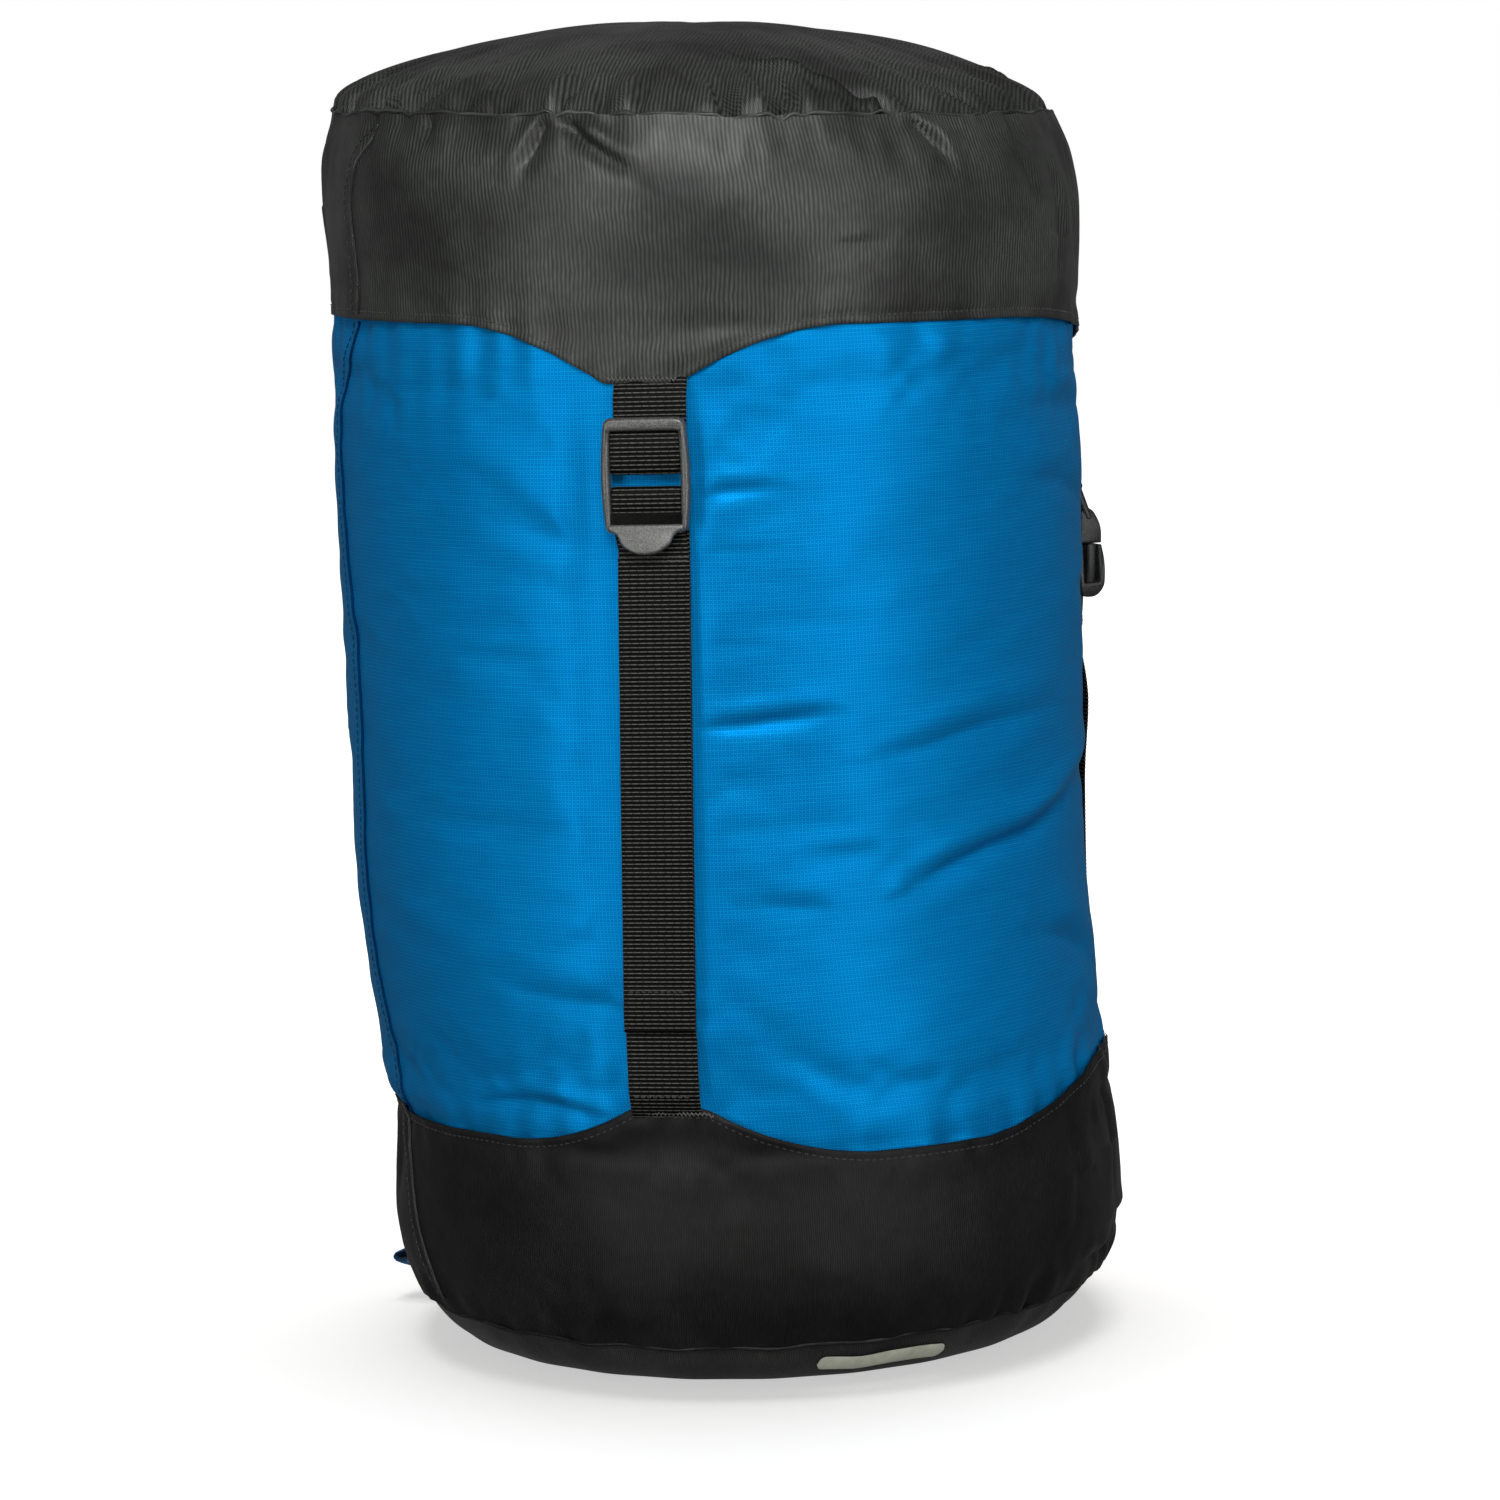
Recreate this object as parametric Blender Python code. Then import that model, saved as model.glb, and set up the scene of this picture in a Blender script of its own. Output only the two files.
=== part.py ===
"""Compression stuff sack, standing packed full on its base.

A ripstop tube is closed by a base disc and a drawn-in throat. A separate cap, the lid, is pulled down
over the throat by three webbing straps: two run through ladder locks, one through a side-release
buckle. Metres, +Z up. The origin is on the floor, at the centre of the base's flat. An angle of
0 degrees is the front (-Y), and angles grow towards +X.
"""

from math import cos, pi, radians, sin, sqrt

import bmesh
import bpy
from mathutils import Matrix, Vector

# ---- The sack ----------------------------------------------------------------------------------
SEGMENTS = 48  # facets round the sack
FABRIC = 0.0012  # thickness given to every fabric shell
GAP = 0.0003  # between pieces that touch

LID_SEAM_Z = 0.4480
LID_SEAM_R = 0.1300
LID_DOME = 0.0325
LID_HEM_Z = 0.3750
LID_DIP = 0.0165  # the lid's hem is this much lower at each strap

BASE_FLAT_R = 0.0850
BASE_SEAM_R = 0.1300
BASE_SEAM_Z = 0.0180
BASE_HEM_Z = 0.0870
BASE_PEAK = 0.0185  # the base band's hem is this much higher at each strap

TUBE_R = 0.1345
TUBE_TOP_Z = 0.4400
MOUTH_Z = 0.4655
MOUTH_R = 0.0300

# ---- Straps of 25 mm webbing -------------------------------------------------------------------
STRAP_ANGLES = {"front": 0.0, "side": 120.0, "rear": 240.0}
LOCK_STRAPS = ("front", "rear")
WEBBING = 0.0250
WEBBING_T = 0.0013
CLEAR = GAP + WEBBING_T / 2  # from a face to the centre line of the webbing that lies on it
SCALLOP_FLAT = 6.0  # degrees either side of a strap where a hem's point is level
SCALLOP_END = 35.0  # degrees from a strap where the hem is back to its own level
STANDING_R = 0.1357
STANDING_FOOT_Z = BASE_HEM_Z + BASE_PEAK + 0.0010
TAIL_END_Z = 0.1340
TAIL_HEM = 0.0130
LID_POINT_Z = LID_HEM_Z - LID_DIP

# ---- Ladder lock -------------------------------------------------------------------------------
LOCK_TOP_Z = 0.3445
LOCK_FOOT_Z = 0.3040
LOCK_W = 0.0308
LOCK_RAIL = 0.0025
LOCK_BACK_R = 0.1360
LOCK_FRONT_R = 0.1425
TOP_RAIL_H = 0.0047
TOP_RAIL_BACK_R = 0.1402
BAR_R = 0.1383  # radius of both inner bars' middle
BAR_T = 0.0024
LOOP_BAR = (0.3273, 0.3345)
GRIP_BAR = (0.3140, 0.3185)
TAB_TOP_Z = 0.3086
TAB_TIP_Z = 0.2985
TAB_BACK_R = 0.1387
TAB_T = 0.0030
TAIL_TOP_Z = 0.2968
LOCK_PIVOT = (0.1398, 0.3451)  # (radius, z) of the fold under the lid, about which the lock lifts

# ---- Side-release buckle -----------------------------------------------------------------------
BUCKLE_W = 0.0320
BUCKLE_BACK_R = 0.1405
BUCKLE_FRONT_R = 0.1510
BUCKLE_PART_Z = 0.2828
BUCKLE_NECK_Z = 0.2951
BUCKLE_TOP_Z = 0.3071
BUCKLE_BOTTOM_Z = 0.2631
BUCKLE_WALL = 0.0020
MALE_BAR_H = 0.0035
PRONG_TIP_Z = 0.2681
PRONG_W = 0.0055
FRAME_BOTTOM_Z = 0.2471
FRAME_BACK_R = 0.1400
FRAME_FRONT_R = 0.1435
LOWER_SLOT = (0.2495, 0.2525)
UPPER_SLOT = (0.2565, 0.2605)

# ---- Haul loop and label -----------------------------------------------------------------------
HAUL_ANGLE = 258.0
HAUL_W = 0.0150
HAUL_T = 0.0009
LABEL_ANGLE = 31.0
LABEL_SPAN = 23.0

COLOURS = {
    "blue_ripstop": (0.0, 0.19, 0.56, 1.0),
    "black_oxford": (0.018, 0.018, 0.018, 1.0),
    "black_webbing": (0.012, 0.012, 0.012, 1.0),
    "black_plastic": (0.03, 0.03, 0.03, 1.0),
    "blue_ribbon": (0.0, 0.05, 0.16, 1.0),
    "label_print": (0.6, 0.62, 0.56, 1.0),
}
ROUGHNESS = {"black_plastic": 0.45, "blue_ripstop": 0.4}


def clear_scene():
    for obj in list(bpy.data.objects):
        bpy.data.objects.remove(obj)


def material(name):
    found = bpy.data.materials.get(name)
    if found:
        return found
    made = bpy.data.materials.new(name)
    made.use_nodes = True
    shader = made.node_tree.nodes["Principled BSDF"]
    shader.inputs["Base Color"].default_value = COLOURS[name]
    shader.inputs["Roughness"].default_value = ROUGHNESS.get(name, 0.7)
    shader.inputs["Metallic"].default_value = 0.0
    return made


# ---- The sack's own shape ----------------------------------------------------------------------
def on_sack(angle, radius, z, across=0.0):
    """The point at that angle (degrees) and radius, moved across along the tangent."""
    a = radians(angle)
    return Vector((radius * sin(a) + across * cos(a), -radius * cos(a) + across * sin(a), z))


def blended(stops, x):
    """A smooth curve through (x, value) stops, level at each stop."""
    if x <= stops[0][0]:
        return stops[0][1]
    for (x0, v0), (x1, v1) in zip(stops, stops[1:]):
        if x <= x1:
            t = (x - x0) / (x1 - x0)
            return v0 + (v1 - v0) * t * t * (3 - 2 * t)
    return stops[-1][1]


def scallop(angle):
    """1 at a strap, falling to 0 part-way to the next one."""
    nearest = min(abs((angle - a + 180) % 360 - 180) for a in STRAP_ANGLES.values())
    share = (SCALLOP_END - max(nearest, SCALLOP_FLAT)) / (SCALLOP_END - SCALLOP_FLAT)
    return max(share, 0.0) ** 2


def lid_hem_z(angle):
    return LID_HEM_Z - LID_DIP * scallop(angle)


def base_hem_z(angle):
    return BASE_HEM_Z + BASE_PEAK * scallop(angle)


def lid_radius(z):
    return blended([(0.373, 0.1358), (0.390, 0.1366), (0.416, 0.1373), (0.434, 0.1364), (0.448, 0.1320)], z)


def base_radius(z):
    return blended([(0.018, 0.1315), (0.050, 0.1345), (0.087, 0.1338)], z)


def tube_radius(z):
    """The tube runs inside the base band and the lid, and swells between them."""
    inside_base = base_radius(z) - FABRIC - 3 * GAP
    swell = blended([(0.108, 0.0), (0.180, 1.0)], z)
    low = inside_base + (TUBE_R - inside_base) * swell
    high = blended([(0.330, TUBE_R), (0.355, 0.1330), (0.415, 0.1330), (0.440, 0.1300)], z)
    return min(low, high)


def dome_z(radius):
    return LID_SEAM_Z + LID_DOME * (1 - (radius / LID_SEAM_R) ** 2) ** 0.75


def base_disc_z(radius):
    rolled = max(radius - BASE_FLAT_R, 0.0) / (BASE_SEAM_R - BASE_FLAT_R)
    return BASE_SEAM_Z * rolled**2


# ---- Builders ----------------------------------------------------------------------------------
def finish_object(name, mesh, slot):
    mesh.materials.append(material(slot))
    obj = bpy.data.objects.new(name, mesh)
    bpy.context.scene.collection.objects.link(obj)
    return obj


def object_from(name, points, faces, slot):
    mesh = bpy.data.meshes.new(name)
    mesh.from_pydata(points, [], faces)
    mesh.validate()
    shaped = bmesh.new()
    shaped.from_mesh(mesh)
    bmesh.ops.recalc_face_normals(shaped, faces=shaped.faces)
    shaped.to_mesh(mesh)
    shaped.free()
    return finish_object(name, mesh, slot)


def thicken(obj, thickness):
    """Gives an open sheet its thickness, inwards from the modelled face."""
    solid = obj.modifiers.new("thickness", "SOLIDIFY")
    solid.thickness = thickness
    solid.offset = -1
    solid.use_even_offset = True


def round_sheet(name, rows, slot, capped=False):
    """A sheet of revolution. rows is a list of functions of angle, each giving (radius, z), with the
    bottom or the outside first. capped closes the last row with a point on the centre line."""
    points = []
    faces = []
    for row in rows:
        for i in range(SEGMENTS):
            angle = 360 * i / SEGMENTS
            points.append(on_sack(angle, *row(angle)))
    for k in range(len(rows) - 1):
        for i in range(SEGMENTS):
            j = (i + 1) % SEGMENTS
            low = k * SEGMENTS
            faces.append((low + i, low + j, low + SEGMENTS + j, low + SEGMENTS + i))
    if capped:
        points.append(on_sack(0, 0, rows[-1](0)[1]))
        last = (len(rows) - 1) * SEGMENTS
        for i in range(SEGMENTS):
            faces.append((last + i, last + (i + 1) % SEGMENTS, len(points) - 1))
    mesh = bpy.data.meshes.new(name)
    mesh.from_pydata(points, [], faces)
    obj = finish_object(name, mesh, slot)
    mesh.shade_smooth()
    thicken(obj, FABRIC)
    return obj


def sheet_between(name, z_low, z_high, radius_at, slot, rows=5):
    """A tube of fabric between two edges, each a function of angle."""

    def row(share):
        def place(angle):
            z = z_low(angle) + (z_high(angle) - z_low(angle)) * share
            return radius_at(z), z

        return place

    return round_sheet(name, [row(k / (rows - 1)) for k in range(rows)], slot)


def extruded(name, section_points, count, slot):
    """A closed solid from two copies, one after the other, of an outline of count points."""
    sides = [(k, (k + 1) % count, count + (k + 1) % count, count + k) for k in range(count)]
    caps = [tuple(range(count)), tuple(range(2 * count - 1, count - 1, -1))]
    return object_from(name, section_points, caps + sides, slot)


def plate(name, angle, outline, radial, slot="black_plastic"):
    """A plate facing outwards, from an outline of (across, z) points."""
    points = [on_sack(angle, r, z, u) for r in radial for u, z in outline]
    return extruded(name, points, len(outline), slot)


def block(name, angle, across, radial, heights, top=None):
    """A box on a strap's line, from (low, high) pairs. top gives the upper face its own pairs."""
    points = []
    for z, (u_pair, r_pair) in zip(heights, ((across, radial), top or (across, radial))):
        corners = ((0, 0), (1, 0), (1, 1), (0, 1))
        points += [on_sack(angle, r_pair[b], z, u_pair[a]) for a, b in corners]
    return extruded(name, points, 4, "black_plastic")


def ribbon(name, path, angle, slot="black_webbing", width=WEBBING, thickness=WEBBING_T):
    """Webbing of one thickness along path, a list of (radius, z) points on its centre line."""
    inner = []
    outer = []
    for k, point in enumerate(path):
        here = Vector(point)
        before = (here - Vector(path[k - 1])).normalized() if k else None
        after = (Vector(path[k + 1]) - here).normalized() if k + 1 < len(path) else before
        before = before or after
        along = (before + after).normalized()
        normal = Vector((along.y, -along.x))
        # At a bend the offset grows, so that the webbing keeps its thickness.
        reach = normal * (thickness / 2 / max(along.dot(after), 0.5))
        inner.append(here - reach)
        outer.append(here + reach)
    section = inner + outer[::-1]
    count = len(section)
    points = [on_sack(angle, r, z, side) for side in (-width / 2, width / 2) for r, z in section]
    faces = []
    for k in range(len(path) - 1):
        quad = (k, k + 1, count - 2 - k, count - 1 - k)
        faces.append(quad)
        faces.append(tuple(i + count for i in reversed(quad)))
    for k in range(count):
        following = (k + 1) % count
        faces.append((k, following, following + count, k + count))
    return object_from(name, points, faces, slot)


def arc(centre, radius, start, end, steps, squeeze=1.0):
    """Points from start to end degrees round centre. squeeze flattens the arc's height."""
    found = []
    for k in range(steps + 1):
        a = radians(start + (end - start) * k / steps)
        found.append((centre[0] + radius * cos(a), centre[1] + radius * squeeze * sin(a)))
    return found


def combine(target, other, operation):
    """Joins or cuts target with a helper object, which isn't a piece of its own."""
    other.hide_render = True
    other.display_type = "WIRE"
    other.name = "helper_" + other.name
    step = target.modifiers.new(operation.lower(), "BOOLEAN")
    step.operation = operation
    step.object = other
    step.solver = "EXACT"


def hang_on(name, point, objects, parent=None):
    """Parents the pieces to an empty on their joint's axis, without moving them."""
    pivot = bpy.data.objects.new(name, None)
    bpy.context.scene.collection.objects.link(pivot)
    pivot.location = point
    if parent:
        pivot.parent = parent
        pivot.location = point - parent.matrix_world.translation
    bpy.context.view_layer.update()
    for obj in objects:
        obj.parent = pivot
        obj.matrix_parent_inverse = Matrix.Translation(-point)
    return pivot


# ---- Fabric ------------------------------------------------------------------------------------
def make_base():
    radii = [BASE_FLAT_R + (BASE_SEAM_R - BASE_FLAT_R) * k / 4 for k in range(4, -1, -1)]
    rows = [lambda angle, r=r: (r, base_disc_z(r)) for r in radii]
    disc = round_sheet("bottom_disc", rows, "black_oxford", capped=True)
    disc.data.flip_normals()
    sheet_between("bottom_band", lambda a: BASE_SEAM_Z, base_hem_z, base_radius, "black_oxford", rows=7)


def make_tube():
    foot = BASE_SEAM_Z + 2.5 * FABRIC
    sheet_between("body_tube", lambda a: foot, lambda a: TUBE_TOP_Z, tube_radius, "blue_ripstop", rows=15)


def make_throat():
    profile = [(0.1284, 0.4405), (0.1180, 0.4470), (0.0850, 0.4550), (0.0500, 0.4605)]
    profile.append((MOUTH_R + 0.0036, 0.4640))
    round_sheet("throat", [lambda angle, p=p: p for p in profile], "blue_ripstop")


def ring(name, centre, ring_radius, section_radius, slot, around=24, sides=6):
    """A ring lying flat, such as the drawcord's channel."""
    points = []
    for i in range(around):
        for k in range(sides):
            b = 2 * pi * k / sides
            r = ring_radius + section_radius * cos(b)
            points.append(centre + on_sack(360 * i / around, r, section_radius * sin(b)))
    faces = []
    for i in range(around):
        j = (i + 1) % around
        for k in range(sides):
            n = (k + 1) % sides
            faces.append((i * sides + k, j * sides + k, j * sides + n, i * sides + n))
    return object_from(name, points, faces, slot)


def make_mouth():
    ring("mouth_hem", on_sack(0, 0, MOUTH_Z), MOUTH_R, 0.0030, "blue_ripstop")
    ring("cord_eyelet", on_sack(180, 0.0440, 0.4647), 0.0032, 0.0010, "black_plastic", around=16)


def make_lid():
    shares = [1.0, 0.96, 0.87, 0.72, 0.45, 0.2]
    rows = [lambda angle, r=s * LID_SEAM_R: (r, dome_z(r)) for s in shares]
    disc = round_sheet("lid_disc", rows, "black_oxford", capped=True)
    band = sheet_between("lid_band", lid_hem_z, lambda a: LID_SEAM_Z, lid_radius, "black_oxford")
    return [disc, band]


def make_label():
    """A blank patch on the front right of the base, between its seam and the floor."""
    steps = 8
    radii = (0.108, 0.113, 0.118, 0.122)
    points = []
    for radius in radii:
        for k in range(steps + 1):
            angle = LABEL_ANGLE + LABEL_SPAN * (k / steps - 0.5)
            points.append(on_sack(angle, radius, base_disc_z(radius) - 2 * GAP))
    faces = []
    for row in range(len(radii) - 1):
        for k in range(steps):
            a = row * (steps + 1) + k
            faces.append((a, a + steps + 1, a + steps + 2, a + 1))
    mesh = bpy.data.meshes.new("base_label")
    mesh.from_pydata(points, [], faces)
    label = finish_object("base_label", mesh, "label_print")
    mesh.flip_normals()
    thicken(label, -GAP)


def make_haul_loop():
    """A loop of narrow tape, caught in the base seam."""
    upper = [(0.1326, 0.0206), (0.1370, 0.0192), (0.1430, 0.0166), (0.1490, 0.0130)]
    turn = arc((0.1483, 0.0106), 0.0025, 60, -120, 6)
    lower = [(0.1420, 0.0112), (0.1370, 0.0146), (0.1326, 0.0172)]
    loop = ribbon("haul_loop", upper + turn + lower, HAUL_ANGLE, "blue_ribbon", HAUL_W, HAUL_T)
    hang_on("haul_loop_pivot", on_sack(HAUL_ANGLE, 0.1326, 0.0190), [loop])


# ---- Straps with a ladder lock -----------------------------------------------------------------
def make_ladder_lock(strap):
    angle = STRAP_ANGLES[strap]
    half = LOCK_W / 2
    corner = 0.0030
    outline = []
    for side_u, side_z, start in ((1, 1, 0), (-1, 1, 90), (-1, -1, 180), (1, -1, 270)):
        z = (LOCK_TOP_Z - corner) if side_z > 0 else (LOCK_FOOT_Z + corner)
        outline += arc((side_u * (half - corner), z), corner, start, start + 90, 2)
    frame = plate(f"{strap}_ladder_lock", angle, outline, (LOCK_BACK_R, LOCK_FRONT_R))
    window = half - LOCK_RAIL
    through = (LOCK_BACK_R - 0.002, LOCK_FRONT_R + 0.002)
    rail_foot = LOCK_TOP_Z - TOP_RAIL_H
    cut = block(f"{strap}_window", angle, (-window, window), through, (LOCK_FOOT_Z - 0.002, rail_foot))
    combine(frame, cut, "DIFFERENCE")
    # Behind the top rail the frame is cut back, so that the webbing passes.
    passage = (LOCK_BACK_R - 0.002, TOP_RAIL_BACK_R)
    narrower = window - 0.0002
    heights = (rail_foot - 0.001, LOCK_TOP_Z + 0.001)
    cut = block(f"{strap}_passage", angle, (-narrower, narrower), passage, heights)
    combine(frame, cut, "DIFFERENCE")
    reach = half - LOCK_RAIL / 2
    flat = (BAR_R - BAR_T / 2, BAR_R + BAR_T / 2)
    for bar_name, heights in (("loop_bar", LOOP_BAR), ("grip_bar", GRIP_BAR)):
        bar = block(f"{strap}_{bar_name}", angle, (-reach, reach), flat, heights)
        combine(frame, bar, "UNION")
    # The lower bar widens into the rounded tab that is lifted to let the webbing run.
    tongue = arc((0, 0.3034), 0.0094, 180, 360, 8, squeeze=(0.3034 - TAB_TIP_Z) / 0.0094)
    outline = [(-reach, TAB_TOP_Z), (-reach, 0.3050), (-0.0112, 0.3042)]
    outline += tongue + [(0.0112, 0.3042), (reach, 0.3050), (reach, TAB_TOP_Z)]
    combine(frame, plate(f"{strap}_tab", angle, outline, (TAB_BACK_R, TAB_BACK_R + TAB_T)), "UNION")
    return frame


def make_tail(strap, path, sew_r):
    """The strap's free end, folded back towards the sack and sewn as a stop."""
    fold = CLEAR - GAP / 2
    down = path + [(sew_r, TAIL_END_Z + TAIL_HEM), (sew_r, TAIL_END_Z + fold)]
    turn = arc((sew_r - fold, TAIL_END_Z + fold), fold, -30, -150, 4)
    back = [(sew_r - 2 * fold, TAIL_END_Z + fold), (sew_r - 2 * fold, TAIL_END_Z + TAIL_HEM)]
    return ribbon(f"{strap}_strap_tail", down + turn + back, STRAP_ANGLES[strap])


def make_lock_strap(strap, lid_pivot):
    angle = STRAP_ANGLES[strap]
    lock = make_ladder_lock(strap)
    # The doubled webbing under the lid's point, sewn to the lid, and the loop that it ends in.
    layers = 2 * WEBBING_T + GAP
    anchor_path = [(0.1364, LID_POINT_Z - 2 * GAP), (0.1374, 0.3520), (0.1380, LOCK_PIVOT[1] + GAP)]
    anchor = ribbon(f"{strap}_strap_anchor", anchor_path, angle, thickness=layers)
    back_r = BAR_R - BAR_T / 2 - CLEAR
    front_r = BAR_R + BAR_T / 2 + CLEAR
    around = arc((BAR_R, LOOP_BAR[0]), (front_r - back_r) / 2, 0, -180, 8)
    front = [(0.1388, LOCK_PIVOT[1] - GAP), (0.1388, 0.3395), (front_r, 0.3350)]
    back = [(back_r, 0.3350), (0.1372, 0.3395), (0.1372, LOCK_PIVOT[1] - GAP)]
    loop = ribbon(f"{strap}_strap_loop", front + around + back, angle)
    # One length of webbing, as three nodes that part inside the lock: up the sack, over the grip bar
    # and down behind the tab, and the free tail.
    up = [(STANDING_R, STANDING_FOOT_Z), (STANDING_R, 0.3085), (0.1360, 0.3140), (0.1360, 0.3160)]
    ribbon(f"{strap}_strap_standing", up, angle)
    over = arc((BAR_R, GRIP_BAR[1]), (front_r - back_r) / 2, 180, 0, 8)
    tail_r = STANDING_R + WEBBING_T + GAP
    down = [(front_r, GRIP_BAR[0]), (0.1400, 0.3124), (0.1383, 0.3108), (tail_r, 0.3088)]
    down.append((tail_r, TAIL_TOP_Z + GAP))
    wrap = ribbon(f"{strap}_strap_wrap", [(back_r, 0.3163)] + over + down, angle)
    tail_path = [(tail_r, TAIL_TOP_Z), (tail_r, 0.2800), (tail_r + WEBBING_T, 0.2500)]
    tail = make_tail(strap, tail_path, tail_r + WEBBING_T)
    lock_pivot = hang_on(f"{strap}_lock_pivot", on_sack(angle, *LOCK_PIVOT), [lock, loop, wrap], lid_pivot)
    tail_point = on_sack(angle, tail_r + WEBBING_T / 2, TAIL_TOP_Z)
    hang_on(f"{strap}_tail_pivot", tail_point, [tail], lock_pivot)
    return anchor


# ---- The strap with a side-release buckle ------------------------------------------------------
def make_buckle_male(angle):
    half = BUCKLE_W / 2
    narrow = (-half + 0.001, half - 0.001)
    radial = (BUCKLE_BACK_R, BUCKLE_FRONT_R)
    heights = (BUCKLE_PART_Z + GAP, BUCKLE_NECK_Z)
    male = block("buckle_male", angle, (-half, half), radial, heights, top=(narrow, (0.1415, 0.1475)))
    # Above the neck the webbing frame leans back towards the sack.
    heights = (BUCKLE_NECK_Z - 0.001, BUCKLE_TOP_Z)
    frame = block("male_frame", angle, narrow, (0.1430, 0.1470), heights, top=(narrow, (0.1405, 0.1445)))
    combine(male, frame, "UNION")
    window = half - 0.0033
    through = (BUCKLE_BACK_R - 0.003, BUCKLE_FRONT_R)
    heights = (BUCKLE_NECK_Z + 0.001, BUCKLE_TOP_Z - MALE_BAR_H)
    combine(male, block("male_slot", angle, (-window, window), through, heights), "DIFFERENCE")
    # The guide tongue runs down the middle of the female half.
    heights = (PRONG_TIP_Z, BUCKLE_PART_Z + 0.001)
    combine(male, block("guide", angle, (-0.0015, 0.0015), (0.1438, 0.1478), heights), "UNION")
    return male


def make_buckle_female(angle):
    half = BUCKLE_W / 2
    outline = [(-half, BUCKLE_PART_Z), (-half, BUCKLE_BOTTOM_Z + 0.005), (-half + 0.005, BUCKLE_BOTTOM_Z)]
    outline += [(-u, z) for u, z in reversed(outline)]
    female = plate("buckle_female", angle, outline, (BUCKLE_BACK_R, BUCKLE_FRONT_R))
    # The inside is open at the top and at both sides, where the prongs show.
    inside = (BUCKLE_BACK_R + BUCKLE_WALL, BUCKLE_FRONT_R - BUCKLE_WALL)
    heights = (PRONG_TIP_Z - 2 * GAP, BUCKLE_PART_Z + 0.002)
    combine(female, block("inside", angle, (-half - 0.002, half + 0.002), inside, heights), "DIFFERENCE")
    boss = arc((0, 0.2751), 0.0055, 0, 330, 11, squeeze=0.58)
    combine(female, plate("boss", angle, boss, (BUCKLE_FRONT_R - 0.001, 0.1550)), "UNION")
    # The frame under the body grips the webbing with two bars.
    frame_half = half - 0.001
    heights = (FRAME_BOTTOM_Z, BUCKLE_BOTTOM_Z + 0.001)
    radial = (FRAME_BACK_R, FRAME_FRONT_R)
    combine(female, block("female_frame", angle, (-frame_half, frame_half), radial, heights), "UNION")
    window = frame_half - 0.0022
    for slot_name, heights in (("lower_slot", LOWER_SLOT), ("upper_slot", UPPER_SLOT)):
        through = (FRAME_BACK_R - 0.002, FRAME_FRONT_R + 0.002)
        combine(female, block(slot_name, angle, (-window, window), through, heights), "DIFFERENCE")
    return female


def make_prong(name, angle, side):
    """One of the male half's two arms. Its tip is narrower than its root."""
    outer = BUCKLE_W / 2 - GAP
    root = tuple(sorted((side * outer, side * (outer - PRONG_W))))
    tip = tuple(sorted((side * outer * 0.88, side * (outer * 0.88 - PRONG_W * 0.6))))
    heights = (PRONG_TIP_Z, BUCKLE_PART_Z)
    prong = block(name, angle, tip, (0.1440, 0.1476), heights, top=(root, (0.1434, 0.1482)))
    return prong, on_sack(angle, BAR_R, BUCKLE_PART_Z, side * (outer - PRONG_W / 2))


def make_side_strap(lid_pivot):
    angle = STRAP_ANGLES["side"]
    male = make_buckle_male(angle)
    female = make_buckle_female(angle)
    for name, side in (("buckle_prong_left", -1), ("buckle_prong_right", 1)):
        prong, root = make_prong(name, angle, side)
        hang_on(name + "_pivot", root, [prong], lid_pivot)
    # The webbing from under the lid's point goes round the male half's bar and back.
    bar = (0.1428, BUCKLE_TOP_Z - MALE_BAR_H / 2)
    around = arc(bar, 0.0037, 20, -200, 10)
    top = LID_POINT_Z - 2 * GAP
    front = [(0.1390, top), (0.1402, 0.3440), (0.1438, 0.3210), (0.1460, 0.3120)]
    back = [(0.1394, 0.3120), (0.1394, 0.3210), (0.1384, 0.3440), (0.1373, top)]
    anchor = ribbon("side_strap_anchor", front + around + back, angle)
    rising = [(STANDING_R, STANDING_FOOT_Z), (STANDING_R, 0.2300), (0.1366, 0.2470), (0.1382, 0.2540)]
    ribbon("side_strap_standing", rising, angle)
    # Over the bar between the two slots, and out behind the lower bar.
    back_r = FRAME_BACK_R - CLEAR
    front_r = FRAME_FRONT_R + CLEAR
    over = [(back_r, 0.2546), (back_r, 0.2565), (0.1402, 0.2585), (0.1428, 0.2585), (front_r, 0.2565)]
    down = [(front_r, 0.2522), (0.1430, 0.2510), (0.1404, 0.2510), (back_r, 0.2497), (back_r, 0.2469)]
    wrap = ribbon("side_strap_wrap", over + down, angle)
    free = [(back_r, 0.2466), (0.1400, 0.2420), (0.1428, 0.2350), (0.1443, 0.2250), (0.1446, 0.2100)]
    tail = make_tail("side", free + [(0.1438, 0.1850), (0.1428, 0.1600)], 0.1424)
    release = hang_on("buckle_release", on_sack(angle, BAR_R, BUCKLE_PART_Z), [female, wrap], lid_pivot)
    hang_on("side_tail_pivot", on_sack(angle, back_r + WEBBING_T / 2, 0.2466), [tail], release)
    return [male, anchor]


# ---- The whole sack ----------------------------------------------------------------------------
def main():
    clear_scene()
    make_base()
    make_tube()
    make_throat()
    make_mouth()
    make_label()
    make_haul_loop()
    lid = make_lid()
    lid_pivot = hang_on("lid_slide", on_sack(0, 0, LID_SEAM_Z), lid)
    riding = [make_lock_strap(strap, lid_pivot) for strap in LOCK_STRAPS]
    riding += make_side_strap(lid_pivot)
    for piece in riding:
        piece.parent = lid_pivot
        piece.matrix_parent_inverse = Matrix.Translation((0, 0, -LID_SEAM_Z))


main()
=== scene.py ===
"""The looks of a compression stuff sack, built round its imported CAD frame.

Every length is in metres.  Angles go round the sack in degrees: 0 is the front
(-Y) and they grow towards +X.  Each fabric shell is a height field over the
sack's cylinder, so that stitches, seams and straps can be laid on it exactly.
"""

import math

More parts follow.
